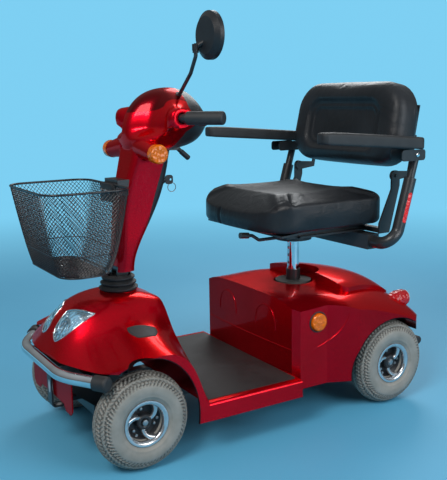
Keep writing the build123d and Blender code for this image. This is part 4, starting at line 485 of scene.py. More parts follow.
def tread_cut(turn, across):
    """Depth of the tread at an angle round the tyre and an angle across it, as a share."""
    if abs(across) > TREAD_HALF_ANGLE:
        return 0.0
    row = (across / TREAD_HALF_ANGLE + 1) / 2 * TREAD_ROWS
    step = turn / (2 * pi) * BLOCKS_ROUND
    row_wave = row + 0.20 * sin(2 * pi * step)
    between_rows = abs(row_wave - round(row_wave))
    inside = int(row_wave)
    slant = step + (0.5 if inside % 2 else 0.0) + 0.22 * sin(2 * pi * row_wave)
    between_blocks = abs(slant - round(slant))
    deep = max(groove(between_rows, 0.17), groove(between_blocks, 0.13))
    fade = min(1.0, (TREAD_HALF_ANGLE - abs(across)) / radians(6))
    return deep * fade


tyre_rubber = soft_rubber("tyre_rubber", (0.22, 0.21, 0.185), (0.31, 0.29, 0.26), 300.0)
nodes, links = tyre_rubber.node_tree.nodes, tyre_rubber.node_tree.links
shader = nodes["Principled BSDF"]
# The grooves are painted darker in step with their depth: painted shade in the recesses.
sunk = add_node(nodes, "Attribute", attribute_name="groove")
paint_over(nodes, links, shader, sunk.outputs["Fac"], PAINTED_GROOVE_SHADE)
for corner in CORNERS:
    low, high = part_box(corner + "_tyre")
    centre = (low + high) / 2
    tyre = added_torus(SECTION_CENTRE, TYRE_SECTION, turn=ALONG_X, steps=(STEPS_ROUND, STEPS_ACROSS))
    depths = tyre.data.attributes.new("groove", "FLOAT", "POINT")
    for vertex in tyre.data.vertices:
        x, y, z = vertex.co
        turn = atan2(z, y)
        across = atan2(x, sqrt(y * y + z * z) - SECTION_CENTRE)
        cut = tread_cut(turn, across)
        depths.data[vertex.index].value = cut
        section = TYRE_SECTION - TREAD_DEPTH * cut
        if abs(across) > SIDEWALL_ANGLE:
            section += SIDEWALL_RIB * groove(abs(abs(across) - RIB_ANGLE), radians(3))
        spread = SECTION_CENTRE + section * cos(across)
        vertex.co = centre + Vector((section * sin(across), spread * cos(turn), spread * sin(turn)))
    finish_piece(tyre, corner + "_tread_tyre", tyre_rubber, corner + "_wheel", 50)
    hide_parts(corner + "_tyre")


# ---------------------------------------------------------------- wheel rims
# Cast rims in two halves: a broad polished ring and barrel, a black dish
# behind three swept silver fins, clamp bolts between them and a dark hub.
RING_OUTLINE = [(-0.033, 0.0557), (-0.033, 0.0618), (0.034, 0.0618), (0.0360, 0.0610), (0.0366, 0.0588),
                (0.0360, 0.0545), (0.0335, 0.0505), (0.0290, 0.0486), (0.0215, 0.0490), (0.0175, 0.0525),
                (0.0165, 0.0557)]
DISH_OUTLINE = [(0.0185, 0.0555), (0.0150, 0.0500), (0.0070, 0.0400), (0.0055, 0.0216), (-0.0030, 0.0216),
                (-0.0030, 0.0400), (0.0080, 0.0555)]
HUB_OUTLINE = [(-0.024, 0.0095), (-0.024, 0.0220), (0.0160, 0.0220), (0.0205, 0.0200), (0.0235, 0.0165),
               (0.0235, 0.0125), (0.0215, 0.0095)]
FIN_TURNS = (20.0, 140.0, 260.0)
FIN_FOOT, FIN_LENGTH = 0.0195, 0.0335
FIN_HALF_WIDTH = 0.0060
FIN_SWEEP = 0.70
FIN_BACK, FIN_FRONT = 0.008, 0.0215
FIN_FLARE, FIN_CROWN = 0.0085, 0.0045


def turned(outline, steps=120):
    """Closed outline of (across, radius) points turned about the X axis."""
    sketch = bpy.data.meshes.new("turned")
    count = len(outline)
    sketch.from_pydata([(x, r, 0) for x, r in outline], [(i, (i + 1) % count) for i in range(count)], [])
    piece = linked("turned", sketch)
    activate(piece)
    bpy.ops.object.mode_set(mode="EDIT")
    bpy.ops.mesh.select_all(action="SELECT")
    bpy.ops.mesh.spin(steps=steps, angle=2 * pi, center=(0, 0, 0), axis=(1, 0, 0))
    bpy.ops.mesh.select_all(action="SELECT")
    bpy.ops.mesh.remove_doubles(threshold=0.00001)
    bpy.ops.mesh.normals_make_consistent(inside=False)
    bpy.ops.object.mode_set(mode="OBJECT")
    return piece


def join(pieces):
    """Joins meshes into the first one."""
    bpy.ops.object.select_all(action="DESELECT")
    for piece in pieces:
        piece.select_set(True)
    bpy.context.view_layer.objects.active = pieces[0]
    bpy.ops.object.join()
    return pieces[0]


def swept_fin(start):
    """One fin from the hub to the ring, swept round and rounded across."""
    bpy.ops.mesh.primitive_cube_add(size=2)
    fin = bpy.context.object
    bpy.ops.object.mode_set(mode="EDIT")
    bpy.ops.mesh.select_all(action="SELECT")
    bpy.ops.mesh.subdivide(number_cuts=9)
    bpy.ops.object.mode_set(mode="OBJECT")
    for vertex in fin.data.vertices:
        along, side, face = vertex.co
        share = (along + 1) / 2
        radius = FIN_FOOT + FIN_LENGTH * share
        half = FIN_HALF_WIDTH * (1 + share ** 2)
        angle = radians(start) + FIN_SWEEP * share ** 1.3 + side * half / radius
        front = FIN_FRONT + FIN_FLARE * share - FIN_CROWN * side ** 4
        depth = front if face > 0.99 else FIN_BACK + (front - FIN_BACK - 0.002) * (face + 1) / 2
        vertex.co = (depth, radius * cos(angle), radius * sin(angle))
    return fin


def hex_head(radius, height, place):
    """Bolt or nut with a chamfered head that faces along X."""
    head = added_cylinder(radius, height, place, ALONG_X, 6)
    bevel_edges(head, lambda a, b: min(a.x, b.x) > place[0] + height / 2 - 1e-5, radius * 0.18, 2)
    return head


def face_outwards(piece):
    """Turns every face of a piece outwards."""
    activate(piece)
    bpy.ops.object.mode_set(mode="EDIT")
    bpy.ops.mesh.select_all(action="SELECT")
    bpy.ops.mesh.normals_make_consistent(inside=False)
    bpy.ops.object.mode_set(mode="OBJECT")


def bevel_edges(piece, chosen, width, segments):
    """Bevels the edges whose two ends satisfy a rule."""
    mesh = bmesh.new()
    mesh.from_mesh(piece.data)
    edges = [e for e in mesh.edges if chosen(e.verts[0].co, e.verts[1].co)]
    bmesh.ops.bevel(mesh, geom=edges, offset=width, segments=segments, profile=0.5, affect="EDGES")
    mesh.to_mesh(piece.data)
    mesh.free()


ring = turned(RING_OUTLINE)
dish = turned(DISH_OUTLINE)
hub = turned(HUB_OUTLINE, 72)
fins = join([swept_fin(turn) for turn in FIN_TURNS])
heads = [hex_head(0.0085, 0.0060, (0.0245, 0, 0))]
for turn in FIN_TURNS:
    for radius, more in ((0.034, 78), (0.040, 100)):
        angle = radians(turn + more)
        heads.append(hex_head(0.0042, 0.0070, (0.0095, radius * cos(angle), radius * sin(angle))))
heads = join(heads)
rim_pieces = ((ring, "ring", silver_paint, 40), (dish, "dish", black_plastic, 30),
              (fins, "fins", silver_paint, 45), (hub, "hub", powder_black, 30),
              (heads, "nuts", plain_steel, 30))
for corner in CORNERS:
    low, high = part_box(corner + "_tyre")
    centre = (low + high) / 2
    for pattern, part, material, angle in rim_pieces:
        piece = linked(part, pattern.data.copy())
        facing = Matrix.Rotation(0.0 if "left" in corner else pi, 4, "Z")
        piece.data.transform(Matrix.Translation(centre) @ facing)
        finish_piece(piece, f"{corner}_rim_{part}", material, corner + "_wheel", angle)
        if part == "ring":
            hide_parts(corner + "_rim")
for pattern, *_ in rim_pieces:
    bpy.data.objects.remove(pattern)


# ---------------------------------------------------------------- black vinyl cushions
# The seat and backrest are foam blocks in leather-grain vinyl, sewn along
# piped seams that pull the cover in; the backrest has a sunk middle panel.
def vinyl(name, dark, light):
    """Soft leather-grain vinyl."""
    material, nodes, links, shader, vector = worn_material(name, 9.0, dark, light, (0.32, 0.48))
    shader.inputs["Specular IOR Level"].default_value = 0.3
    grain = texture(nodes, links, vector, "TexVoronoi", {"Scale": 650.0}, feature="DISTANCE_TO_EDGE")
    add_bump(nodes, links, shader, grain.outputs["Distance"], 0.25, 0.0006)
    creases = texture(nodes, links, vector, "TexNoise", {"Scale": 16.0, "Detail": 6.0, "Distortion": 1.6})
    add_bump(nodes, links, shader, creases.outputs["Fac"], 0.35, 0.006)
    return material


black_vinyl = vinyl("black_vinyl", (0.010, 0.011, 0.013), (0.018, 0.019, 0.022))


def padded_block(low, high, corner, edge, voxel):
    """Box with rounded corners and edges, remeshed into even faces."""
    block = added_box(Vector(high) - Vector(low), (Vector(low) + Vector(high)) / 2)
    bevel_edges(block, lambda a, b: abs(a.z - b.z) > 0.02, corner, 8)
    top, bottom = high[2], low[2]
    bevel_edges(block, lambda a, b: a.z > top - 0.001 and b.z > top - 0.001, edge, 5)
    bevel_edges(block, lambda a, b: a.z < bottom + 0.001 and b.z < bottom + 0.001, edge * 0.6, 4)
    block.data.remesh_voxel_size = voxel
    bpy.ops.object.voxel_remesh()
    return block


def stuff(piece, sewn, cap, pressure):
    """Swells a cover between its seams with cloth simulation, moving no point further than cap."""
    rest = [v.co.copy() for v in piece.data.vertices]
    group = piece.vertex_groups.new(name="sewn")
    group.add([v.index for v in piece.data.vertices if sewn(v.co)], 1.0, "REPLACE")
    cloth = piece.modifiers.new("stuffing", "CLOTH")
    cloth.settings.use_pressure = True
    cloth.settings.uniform_pressure_force = pressure
    cloth.settings.vertex_group_mass = "sewn"
    cloth.settings.effector_weights.gravity = 0.0
    cloth.settings.quality = 4
    cloth.settings.bending_stiffness = 2.0
    cloth.collision_settings.use_collision = False
    cloth.point_cache.frame_start = 1
    cloth.point_cache.frame_end = 20
    for step in range(1, 21):
        bpy.context.scene.frame_set(step)
    evaluated = piece.evaluated_get(bpy.context.evaluated_depsgraph_get())
    swollen = [v.co.copy() for v in evaluated.data.vertices]
    piece.modifiers.remove(cloth)
    piece.vertex_groups.clear()
    for vertex, start, end in zip(piece.data.vertices, rest, swollen):
        shift = end - start
        if shift.length > cap:
            shift = shift.normalized() * cap
        vertex.co = start + shift
    bpy.context.scene.frame_set(1)


# ---------------------------------------------------------------- seat cushion
# Deep foam seat with a rolled front edge, a boxed side and piping where the
# top panel meets it.
SEAT_SWELL = 0.010
SEAM_DROP = 0.030
FRONT_ROLL = 0.036
ROLL_LENGTH = 0.10
SEAT_DISH = 0.012
CREASE_X = -0.055
PRESSURE = 4.0
seat_low, seat_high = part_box("seat_cushion")


def seat_shape(co):
    """Height change that rolls the seat's front down and dishes its middle."""
    front = (seat_low.y + ROLL_LENGTH - co.y) / ROLL_LENGTH
    share = (co.z - seat_low.z) / (seat_high.z - seat_low.z)
    roll = -FRONT_ROLL * max(0.0, front) ** 2 * share
    across = abs(co.x) / seat_high.x
    along = (co.y - seat_low.y) / (seat_high.y - seat_low.y)
    dish = -SEAT_DISH * (1 - across ** 2) * max(0.0, sin(pi * along)) * max(0.0, share) ** 2
    return roll + dish


def front_pull(co):
    """How far a point of the seat's front is drawn back: the front bows and its corners are full arcs."""
    across = abs(co.x) / seat_high.x
    near = max(0.0, 1 - (co.y - seat_low.y) / 0.26)
    return (0.020 * across ** 2 + 0.036 * max(0.0, (across - 0.45) / 0.55) ** 2) * near


seat = padded_block((seat_low.x + SEAT_SWELL - 0.004, seat_low.y + SEAT_SWELL - 0.016, seat_low.z + 0.006),
                    (seat_high.x - SEAT_SWELL + 0.004, seat_high.y - SEAT_SWELL + 0.004, seat_high.z - 0.006),
                    0.045, 0.030, 0.0055)
seam_height = seat_high.z - SEAM_DROP
stuff(seat, lambda co: abs(co.z - seam_height) < 0.004 or co.z < seat_low.z + 0.014, 0.011, PRESSURE)
for vertex in seat.data.vertices:
    vertex.co.y += front_pull(vertex.co)
    across = abs(vertex.co.x - CREASE_X)
    if vertex.co.y < seat_low.y + 0.08 and vertex.co.z < seam_height + 0.004:
        vertex.co.y += 0.0035 * groove(across, 0.006)
    vertex.co.z += seat_shape(vertex.co)
finish_piece(seat, "seat_cover", black_vinyl, "seat", 80)
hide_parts("seat_cushion")


# ---------------------------------------------------------------- backrest cushion
# Upright foam pad with a plump rim round a sunk middle panel, on a hinge
# plate that folds forwards.
LEAN = radians(11)
BACK_HALF = (0.256, 0.128, 0.0465)
PANEL_HALF = (0.168, 0.070)
PANEL_SINK = 0.014
BACK_TAPER = 0.05
back_low, back_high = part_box("backrest_cushion")
back = padded_block([-half for half in BACK_HALF], BACK_HALF, 0.092, 0.034, 0.005)


def beyond_panel(co):
    """Distance outside the sunk panel's rounded outline; negative inside."""
    radius = 0.045
    dx = abs(co.x) - PANEL_HALF[0] + radius
    dy = abs(co.y + 0.010) - PANEL_HALF[1] + radius
    outside = sqrt(max(dx, 0.0) ** 2 + max(dy, 0.0) ** 2)
    return outside + min(max(dx, dy), 0.0) - radius


stuff(back, lambda co: co.z < -0.034 or (co.z > 0 and abs(beyond_panel(co)) < 0.004), 0.010, PRESSURE)
for vertex in back.data.vertices:
    if vertex.co.z > 0.004:
        distance = beyond_panel(vertex.co)
        if distance < 0:
            vertex.co.z -= PANEL_SINK * min(1.0, -distance / 0.020)
        vertex.co.z -= 0.007 * groove(abs(distance), 0.010)
    vertex.co.x *= 1 - BACK_TAPER * ((vertex.co.y + BACK_HALF[1]) / (2 * BACK_HALF[1])) ** 2
back.data.transform(Matrix.Translation((back_low + back_high) / 2) @ Matrix.Rotation(pi / 2 - LEAN, 4, "X"))
finish_piece(back, "backrest_cover", black_vinyl, "backrest", 80)
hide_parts("backrest_cushion")


# ---------------------------------------------------------------- armrest pads
# Moulded foam pads on folded steel channels that lift about a bolt.
PAD_SLOPE = 0.0794
PAD_WIDTH, PAD_DEPTH = 0.049, 0.0352
NOSE_LENGTH = 0.07
for side in ("left", "right"):
    low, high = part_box("armrest_pad_" + side)
    length = high.y - low.y
    pad = added_box((PAD_WIDTH, length - 0.002, PAD_DEPTH))
    bevel_edges(pad, lambda a, b: abs(a.z - b.z) > 0.02, 0.018, 6)
    bevel_edges(pad, lambda a, b: a.z * b.z > 0, 0.007, 4)
    pad.modifiers.new("soften", "SUBSURF").levels = 1
    pad.modifiers["soften"].render_levels = 1
    apply_modifiers(pad)
    place = Vector(((low.x + high.x) / 2, (low.y + high.y) / 2, high.z - 0.0182))
    for vertex in pad.data.vertices:
        nose = max(0.0, (-vertex.co.y - length / 2 + NOSE_LENGTH) / NOSE_LENGTH)
        vertex.co.z += 0.0016 * cos(pi * vertex.co.x / 0.05) - 0.004 * nose ** 2 * (vertex.co.z > 0)
        vertex.co += place - Vector((0, 0, PAD_SLOPE * (vertex.co.y + length / 2)))
    finish_piece(pad, "arm_pad_" + side, black_rubber, "pad_" + side, 60)
    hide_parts("armrest_pad_" + side)


# ---------------------------------------------------------------- basket
# Black coated basket: expanded steel mesh welded to a round rim wire and a
# base frame, hung on the column by a moulded block with bright bolts.
basket_low, basket_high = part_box("basket")
RIM_HEIGHT = basket_high.z - 0.003
BASE_HEIGHT = basket_low.z + 0.002
MESH_ROUND = 92
MESH_UP = 18
BASE_HALF_WIDTH, RIM_FLARE = 0.1445, 0.021
REAR_RAKE, FRONT_RAKE = 0.060, 0.046
BASKET_CORNER = 0.050
MESH_WIRE = 0.0022


def basket_ring(z, shift=0.0):
    """Rounded outline of the basket at a height, as evenly spaced points."""
    share = min(1.0, max(0.0, (z - basket_low.z) / (basket_high.z - basket_low.z)))
    half = BASE_HALF_WIDTH + RIM_FLARE * share ** 0.8 + shift
    rear = basket_high.y - 0.006 - REAR_RAKE * (1 - share ** 0.55) + shift
    front = basket_low.y + 0.0015 + FRONT_RAKE * (1 - share ** 0.8) - shift
    corner = BASKET_CORNER
    runs = []
    for cx, cy, start in ((half - corner, rear - corner, 0), (-half + corner, rear - corner, 90),
                          (-half + corner, front + corner, 180), (half - corner, front + corner, 270)):
        for step in range(13):
            angle = radians(start + 7.5 * step)
            runs.append(Vector((cx + corner * cos(angle), cy + corner * sin(angle), z)))
    runs.append(runs[0].copy())
    lengths = [0.0]
    for one, other in zip(runs, runs[1:]):
        lengths.append(lengths[-1] + (other - one).length)
    points, place = [], 0
    for step in range(MESH_ROUND):
        target = lengths[-1] * step / MESH_ROUND
        while lengths[place + 1] < target:
            place += 1
        part = (target - lengths[place]) / max(lengths[place + 1] - lengths[place], 1e-9)
        points.append(runs[place].lerp(runs[place + 1], part))
    return points


def tube_through(points, radius, closed=False, sides=8):
    """Round wire through points, as a mesh."""
    curve = bpy.data.curves.new("wire", "CURVE")
    curve.dimensions = "3D"
    curve.bevel_depth = radius
    curve.bevel_resolution = max(1, sides // 4)
    curve.use_fill_caps = not closed
    spline = curve.splines.new("POLY")
    spline.points.add(len(points) - 1)
    for spot, place in zip(spline.points, points):
        spot.co = (*place, 1)
    spline.use_cyclic_u = closed
    holder = linked("wire", curve)
    activate(holder)
    bpy.ops.object.convert(target="MESH")
    return bpy.context.object


coated_wire = metal("coated_wire", (0.012, 0.012, 0.014), 0.0, 0.25, 0.4, 500.0)
rings = []
for level in range(2 * MESH_UP + 1):
    z = BASE_HEIGHT + (RIM_HEIGHT - BASE_HEIGHT) * level / (2 * MESH_UP)
    ring = basket_ring(z)
    if level % 2:
        ring = [ring[i].lerp(ring[(i + 1) % MESH_ROUND], 0.5) for i in range(MESH_ROUND)]
    rings.append(ring)
points, faces = [place for ring in rings for place in ring], []
for level in range(2 * MESH_UP - 1):
    for step in range(MESH_ROUND):
        shift = level % 2
        left = (level + 1) * MESH_ROUND + (step + shift - 1) % MESH_ROUND
        right = (level + 1) * MESH_ROUND + (step + shift) % MESH_ROUND
        faces.append((level * MESH_ROUND + step, right, (level + 2) * MESH_ROUND + step, left))
base_ring = rings[0]
columns, rows = 24, 10
spread_x = max(p.x for p in base_ring) - 0.004
front_y = min(p.y for p in base_ring) + 0.004
rear_y = max(p.y for p in base_ring) - 0.004
start = len(points)
for row in range(2 * rows + 1):
    for column in range(columns + 1):
        x = -spread_x + 2 * spread_x * (column + (0.5 if row % 2 else 0.0)) / columns
        y = front_y + (rear_y - front_y) * row / (2 * rows)
        points.append(Vector((min(x, spread_x), y, BASE_HEIGHT)))


def inside_base(place):
    """Whether a point lies in the base's rounded outline."""
    corner = 0.044
    dx = max(abs(place.x) - spread_x + corner, 0.0)
    dy = max(abs(place.y - (front_y + rear_y) / 2) - (rear_y - front_y) / 2 + corner, 0.0)
    return dx * dx + dy * dy < corner * corner


for row in range(2 * rows - 1):
    for column in range(columns):
        shift = row % 2
        near = start + row * (columns + 1) + column
        left = start + (row + 1) * (columns + 1) + column + shift - 1
        right = start + (row + 1) * (columns + 1) + column + shift
        far = start + (row + 2) * (columns + 1) + column
        if column + shift - 1 >= 0 and all(inside_base(points[i]) for i in (near, left, right, far)):
            faces.append((near, right, far, left))
sheet = bpy.data.meshes.new("basket_mesh")
sheet.from_pydata([tuple(p) for p in points], [], faces)
mesh_piece = linked("basket_mesh", sheet)
wires = mesh_piece.modifiers.new("expanded", "WIREFRAME")
wires.thickness = MESH_WIRE
wires.use_even_offset = False
apply_modifiers(mesh_piece)
finish_piece(mesh_piece, "basket_mesh", coated_wire, "front_basket")
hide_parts("basket")

rim = tube_through(basket_ring(RIM_HEIGHT), 0.0030, closed=True)
base_wire = tube_through(basket_ring(BASE_HEIGHT, 0.0005), 0.0022, closed=True)
low_wire = tube_through(basket_ring(BASE_HEIGHT + 0.055, 0.0005), 0.0012, closed=True)
runs = []
for part in (0.3, 0.7):
    y = front_y + (rear_y - front_y) * part
    runs.append(((-spread_x + 0.004, y, BASE_HEIGHT), (spread_x - 0.004, y, BASE_HEIGHT)))
for x in (-0.05, 0.05):
    runs.append(((x, front_y + 0.002, BASE_HEIGHT), (x, rear_y - 0.002, BASE_HEIGHT)))
cross_wires = [tube_through(run, 0.0022) for run in runs]
frame_wire = join([rim, base_wire, low_wire, *cross_wires])
finish_piece(frame_wire, "basket_frame", coated_wire, "front_basket", 60)

hanger_top = basket_high.z
hanger_rear = basket_high.y
hanger_front = hanger_rear - 0.016
hanger = added_box((0.080, 0.009, 0.050), (0, hanger_rear - 0.0115, hanger_top - 0.026))
bevel_edges(hanger, lambda a, b: abs(a.y - b.y) > 0.001, 0.006, 4)
bevel_edges(hanger, lambda a, b: abs(a.y - b.y) < 1e-5 and a.y < hanger_front + 0.003, 0.0015, 2)
hook = added_box((0.072, 0.0096, 0.0084), (0, hanger_rear - 0.0048, hanger_top - 0.0042))
hanger = join([hanger, hook])
finish_piece(hanger, "basket_hanger", black_plastic, "front_basket", 30)
bolts = []
for x in (-0.028, 0.0, 0.028):
    bolt = added_cylinder(0.0055, 0.004, (x, hanger_front - 0.0018, hanger_top - 0.022), ALONG_Y)
    bevel_edges(bolt, lambda a, b: max(a.y, b.y) < hanger_front - 0.003, 0.0012, 2)
    bolts.append(bolt)
bolts = join(bolts)
finish_piece(bolts, "basket_bolts", plain_steel, "front_basket", 40)


# ---------------------------------------------------------------- armrest fittings
# Folded steel channels under the pads, each held to its tube's end by a bright
# bolt, and red reflective strips stuck on the outer sides of the sleeves.
SLEEVE_FOOT = Vector((0.301, 0.424, 0.540))
SLEEVE_LINE = Vector((0.0, 0.066, 0.226)).normalized()
SLEEVE_REACH = 0.0181
PAD_PIVOT = (0.472, 0.7665)
STRIP_FROM, STRIP_TO = 0.030, 0.122
STRIP_HALF_ANGLE = radians(24)
reflective_red = lens_material("reflective_red", (0.80, 0.02, 0.02), 0.0, 0.25)
for side, sign in (("left", 1), ("right", -1)):
    low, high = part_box("armrest_pad_" + side)
    middle = (low.x + high.x) / 2
    cheeks = []
    for across in (-0.0228, 0.0228):
        cheek = added_box((0.0026, 0.092, 0.032))
        bevel_edges(cheek, lambda a, b: abs(a.x - b.x) > 0.001, 0.009, 5)
        cheek.data.transform(Matrix.Translation((middle + across, high.y - 0.052, high.z - 0.0790)))
        cheeks.append(cheek)
    channel = join(cheeks)
    finish_piece(channel, "arm_channel_" + side, powder_black, "pad_" + side, 30)
    outer = middle + sign * 0.0278
    bolt = added_cylinder(0.0062, 0.0040, (outer - sign * 0.0020, *PAD_PIVOT), ALONG_X, 32)
    bevel_edges(bolt, lambda a, b: max(abs(a.x - outer), abs(b.x - outer)) < 1e-5, 0.0016, 3)
    finish_piece(bolt, "arm_bolt_" + side, chrome, "pad_" + side, 40)
    bpy.ops.mesh.primitive_grid_add(x_subdivisions=12, y_subdivisions=24, size=2)
    strip = bpy.context.object
    forwards = SLEEVE_LINE.cross(Vector((1, 0, 0)))
    for vertex in strip.data.vertices:
        across, along, _ = vertex.co
        narrow = sqrt(max(0.0, 1 - max(0.0, (abs(along) - 0.86) / 0.14) ** 2))
        angle = across * STRIP_HALF_ANGLE * narrow
        place = SLEEVE_FOOT + SLEEVE_LINE * (STRIP_FROM + (STRIP_TO - STRIP_FROM) * (along + 1) / 2)
        place += SLEEVE_REACH * (Vector((1, 0, 0)) * cos(angle) + forwards * sin(angle))
        vertex.co = (sign * place.x, place.y, place.z)
    strip.modifiers.new("thick", "SOLIDIFY").thickness = 0.0007
    strip.modifiers["thick"].offset = 0.0
    apply_modifiers(strip)
    face_outwards(strip)
    finish_piece(strip, "arm_reflector_" + side, reflective_red, "arm_" + side, 40)


# ---------------------------------------------------------------- lamp trims
# Chrome beading round the headlights with a bright ring about each bowl, dark
# gaskets round the body indicators, and pale end rings on the tail lamps.
def faces_of(node):
    """Search tree of a CAD node's faces."""
    mesh = NODES[node].data
    return BVHTree.FromPolygons([v.co for v in mesh.vertices], [f.vertices for f in mesh.polygons])


def laid(tree, start, direction, lift):
    """Where a ray first meets a surface, raised along the surface's normal."""
    hit, normal, _, _ = tree.ray_cast(Vector(start), Vector(direction))
    return hit + normal * lift


def arc_through(first, middle, last, count):
    """Evenly stepped points of a smooth bow through three points."""
    points = []
    for step in range(count):
        t = step / count
        knee = 2 * Vector(middle) - (Vector(first) + Vector(last)) / 2
        points.append((1 - t) ** 2 * Vector(first) + 2 * t * (1 - t) * knee + t ** 2 * Vector(last))
    return points


LAMP_BOWS = [((0.0205, 0, 0.3855), (0.056, 0, 0.3925), (0.0895, 0, 0.3855)),
             ((0.0895, 0, 0.3855), (0.0836, 0, 0.344), (0.050, 0, 0.3146)),
             ((0.050, 0, 0.3146), (0.0292, 0, 0.3243), (0.0194, 0, 0.344)),
             ((0.0194, 0, 0.344), (0.0199, 0, 0.365), (0.0205, 0, 0.3855))]
window_middle = Vector((0.052, 0, 0.357))
lens_faces = faces_of("headlight_lenses")
beads = []
for sign in (1, -1):
    edge = []
    for bow in LAMP_BOWS:
        for place in arc_through(*bow, 14):
            place = window_middle + (place - window_middle) * 0.965
            edge.append(laid(lens_faces, (sign * place.x, -0.8, place.z), (0, 1, 0), 0.0004))
    beads.append(tube_through(edge, 0.0019, closed=True, sides=12))
    centre, normal, _, _ = lens_faces.ray_cast(Vector((sign * 0.049, -0.8, 0.349)), Vector((0, 1, 0)))
    turn = normal.to_track_quat("Z", "Y").to_matrix().to_4x4()
    for radius, wire, sink in ((0.0195, 0.0022, 0.0045), (0.0105, 0.0016, 0.0060)):
        bowl = added_torus(radius, wire)
        bowl.data.transform(Matrix.Translation(centre - normal * sink) @ turn)
        beads.append(bowl)
beading = join(beads)
finish_piece(beading, "headlight_beading", chrome, "chassis", 60)

body_faces = faces_of("rear_body_shell")
INDICATOR = (0.171, 0.297)
GASKET_RADIUS = 0.0292
gaskets = []
for sign in (1, -1):
    loop = []
    for turn in (2 * pi * step / 48 for step in range(48)):
        y, z = INDICATOR[0] + GASKET_RADIUS * cos(turn), INDICATOR[1] + GASKET_RADIUS * sin(turn)
        loop.append(laid(body_faces, (sign * 0.5, y, z), (-sign, 0, 0), 0.0004))
    gaskets.append(tube_through(loop, 0.0021, closed=True, sides=12))
gaskets = join(gaskets)
finish_piece(gaskets, "indicator_gaskets", black_rubber, "chassis", 60)

lamp_low, lamp_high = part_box("tail_lamps")
end_rings, pegs = [], []
pale_plastic = moulded_plastic("pale_plastic", (0.42, 0.42, 0.42), (0.50, 0.50, 0.50), 0.3, 0.4, 500.0)
for sign in (1, -1):
    x, z = sign * (lamp_high.x - 0.027), (lamp_low.z + lamp_high.z) / 2
    end_rings.append(added_torus(0.0205, 0.0022, (x, lamp_high.y - 0.0006, z), ALONG_Y))
    peg = added_cylinder(0.0055, 0.012, (x, lamp_high.y + 0.003, z), ALONG_Y)
    bevel_edges(peg, lambda a, b: min(a.y, b.y) > lamp_high.y + 0.0085, 0.002, 3)
    pegs.append(peg)
end_rings = join(end_rings)
finish_piece(end_rings, "tail_lamp_rings", pale_plastic, "chassis", 60)
pegs = join(pegs)
finish_piece(pegs, "tail_lamp_pegs", black_rubber, "chassis", 40)


# ---------------------------------------------------------------- trims on the red panels
# Soft rubber scuff pads on the rear shoulders of the nose, and raised style
# lines moulded in the rear body: a step line low on its front, two arches and a
# sweep on each side.
def patch_on(tree, corners, lift, direction=(0, 0, -1), start=0.9):
    """Pillowed pad over a four-cornered area given in plan, laid on a surface."""
    bpy.ops.mesh.primitive_grid_add(x_subdivisions=24, y_subdivisions=24, size=2)
    pad = bpy.context.object
    one, two, three, four = (Vector((*c, 0)) for c in corners)
    for vertex in pad.data.vertices:
        u, v, _ = vertex.co
        border = max(abs(u), abs(v))
        u, v = u * sqrt(1 - 0.30 * v * v), v * sqrt(1 - 0.30 * u * u)
        s, t = (u + 1) / 2, (v + 1) / 2
        place = one * (1 - s) * (1 - t) + two * s * (1 - t) + three * s * t + four * (1 - s) * t
        rise = lift if border < 0.99 else -0.0006
        vertex.co = laid(tree, (place.x, place.y, start), direction, rise)
    pad.modifiers.new("thick", "SOLIDIFY").thickness = 0.0015
    pad.modifiers["thick"].offset = -1.0
    apply_modifiers(pad)
    face_outwards(pad)
    smooth(pad, 50)
    return pad


nose_faces = faces_of("nose_fairing")
pads = []
for sign in (1, -1):
    pads.append(patch_on(nose_faces, ((sign * 0.140, -0.392), (sign * 0.198, -0.376), (sign * 0.203, -0.322),
                                      (sign * 0.156, -0.296)), 0.0018))
pads = join(pads)
finish_piece(pads, "nose_scuff_pads", black_rubber, "chassis")

lines = []
step_line = [laid(body_faces, (x / 1000, -0.1, 0.221), (0, 1, 0), -0.0005) for x in range(-228, 229, 12)]
lines.append(tube_through(step_line, 0.0022, sides=12))
for middle in (-0.105, 0.105):
    arch = []
    for turn in (pi * step / 28 for step in range(29)):
        place = (middle + 0.050 * cos(turn), -0.1, 0.262 + 0.068 * sin(turn) ** 0.7)
        arch.append(laid(body_faces, place, (0, 1, 0), -0.0005))
    lines.append(tube_through(arch, 0.0022, sides=12))
for sign in (1, -1):
    sweep = arc_through((0, 0.170, 0.222), (0, 0.232, 0.252), (0, 0.270, 0.318), 20)
    sweep = [laid(body_faces, (sign * 0.5, p.y, p.z), (-sign, 0, 0), -0.0008) for p in sweep]
    lines.append(tube_through(sweep, 0.0026, sides=12))
lines = join(lines)
finish_piece(lines, "body_style_lines", candy_red, "chassis", 60)


# ---------------------------------------------------------------- swept tiller head
# The head's red cover and its hood, painted in a darker copy of the red as painted
# shade, are moulded with a swept front: the nose of the head stays forward and its
# flanks fall back to the handlebar.
SWEEP = 0.042
LONGEST_EDGE = 0.009
HEAD_FOOT = 0.80


def ease(value, start, run):
    """Smooth step from 0 to 1, over a run from a start."""
    share = min(1.0, max(0.0, (value - start) / run))
    return share * share * (3 - 2 * share)


def swept_back(co):
    """How far a point of the head's flanks is drawn rearwards."""
    across = abs(co.x)
    flank = ease(across, 0.010, 0.055) * (1 - ease(across, 0.115, 0.060))
    return SWEEP * flank * ease(co.z, 0.830, 0.035) * ease(-co.y, 0.190, 0.110)


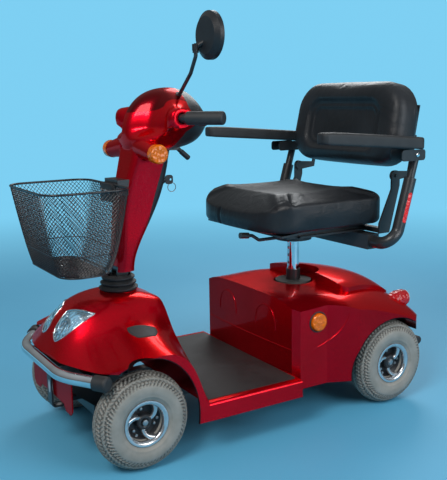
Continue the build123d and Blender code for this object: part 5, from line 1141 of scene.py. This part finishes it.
def merged_copy(node, name):
    """Copy of a CAD node's mesh, merged and with its long edges cut."""
    piece = linked(name, NODES[node].data.copy())
    mesh = bmesh.new()
    mesh.from_mesh(piece.data)
    bmesh.ops.remove_doubles(mesh, verts=mesh.verts, dist=0.00002)
    for _ in range(3):
        long_edges = [e for e in mesh.edges
                      if e.calc_length() > LONGEST_EDGE and max(v.co.z for v in e.verts) > HEAD_FOOT]
        bmesh.ops.subdivide_edges(mesh, edges=long_edges, cuts=1)
        bmesh.ops.triangulate(mesh, faces=[f for f in mesh.faces if len(f.verts) > 3])
    mesh.to_mesh(piece.data)
    mesh.free()
    return piece


for node, material in (("tiller_front_cover", candy_red), ("console_hood", painted_shade_red)):
    cover = merged_copy(node, node + "_swept")
    for vertex in cover.data.vertices:
        vertex.co.y += swept_back(vertex.co)
    finish_piece(cover, node + "_swept", material, "tiller", 30)
    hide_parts(node)


# ---------------------------------------------------------------- small fittings on the tiller
# A split ring hangs from the key, and a bright bolt clamps the mirror's foot.
MIRROR_FOOT = (0.0685, -0.170, 0.9525)
key_low, key_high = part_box("ignition_key")
ring_place = ((key_low.x + key_high.x) / 2, key_high.y - 0.004, key_low.z - 0.009)
key_ring = added_torus(0.0125, 0.0011, ring_place, ALONG_X, (48, 10))
finish_piece(key_ring, "key_ring", cast_metal, "key", 60)

foot_bolt = added_cylinder(0.0062, 0.008, MIRROR_FOOT, sides=6)
bevel_edges(foot_bolt, lambda a, b: min(a.z, b.z) > MIRROR_FOOT[2] + 0.0035, 0.001, 2)
finish_piece(foot_bolt, "mirror_foot_bolt", plain_steel, "tiller", 30)


# ---------------------------------------------------------------- floor mat
# Ribbed rubber mat laid in the deck.
mat_rubber = soft_rubber("mat_rubber", (0.016, 0.017, 0.017), (0.026, 0.027, 0.027), 260.0)
nodes, links = mat_rubber.node_tree.nodes, mat_rubber.node_tree.links
ribs = add_node(nodes, "TexWave", {"Scale": 62.0})
ribs.bands_direction = "X"
links.new(object_coordinates(nodes), ribs.inputs["Vector"])
add_bump(nodes, links, nodes["Principled BSDF"], ribs.outputs["Fac"], 0.4, 0.0012)
paint_nodes(mat_rubber, "floor_mat")


# ---------------------------------------------------------------- sizes
low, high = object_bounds()
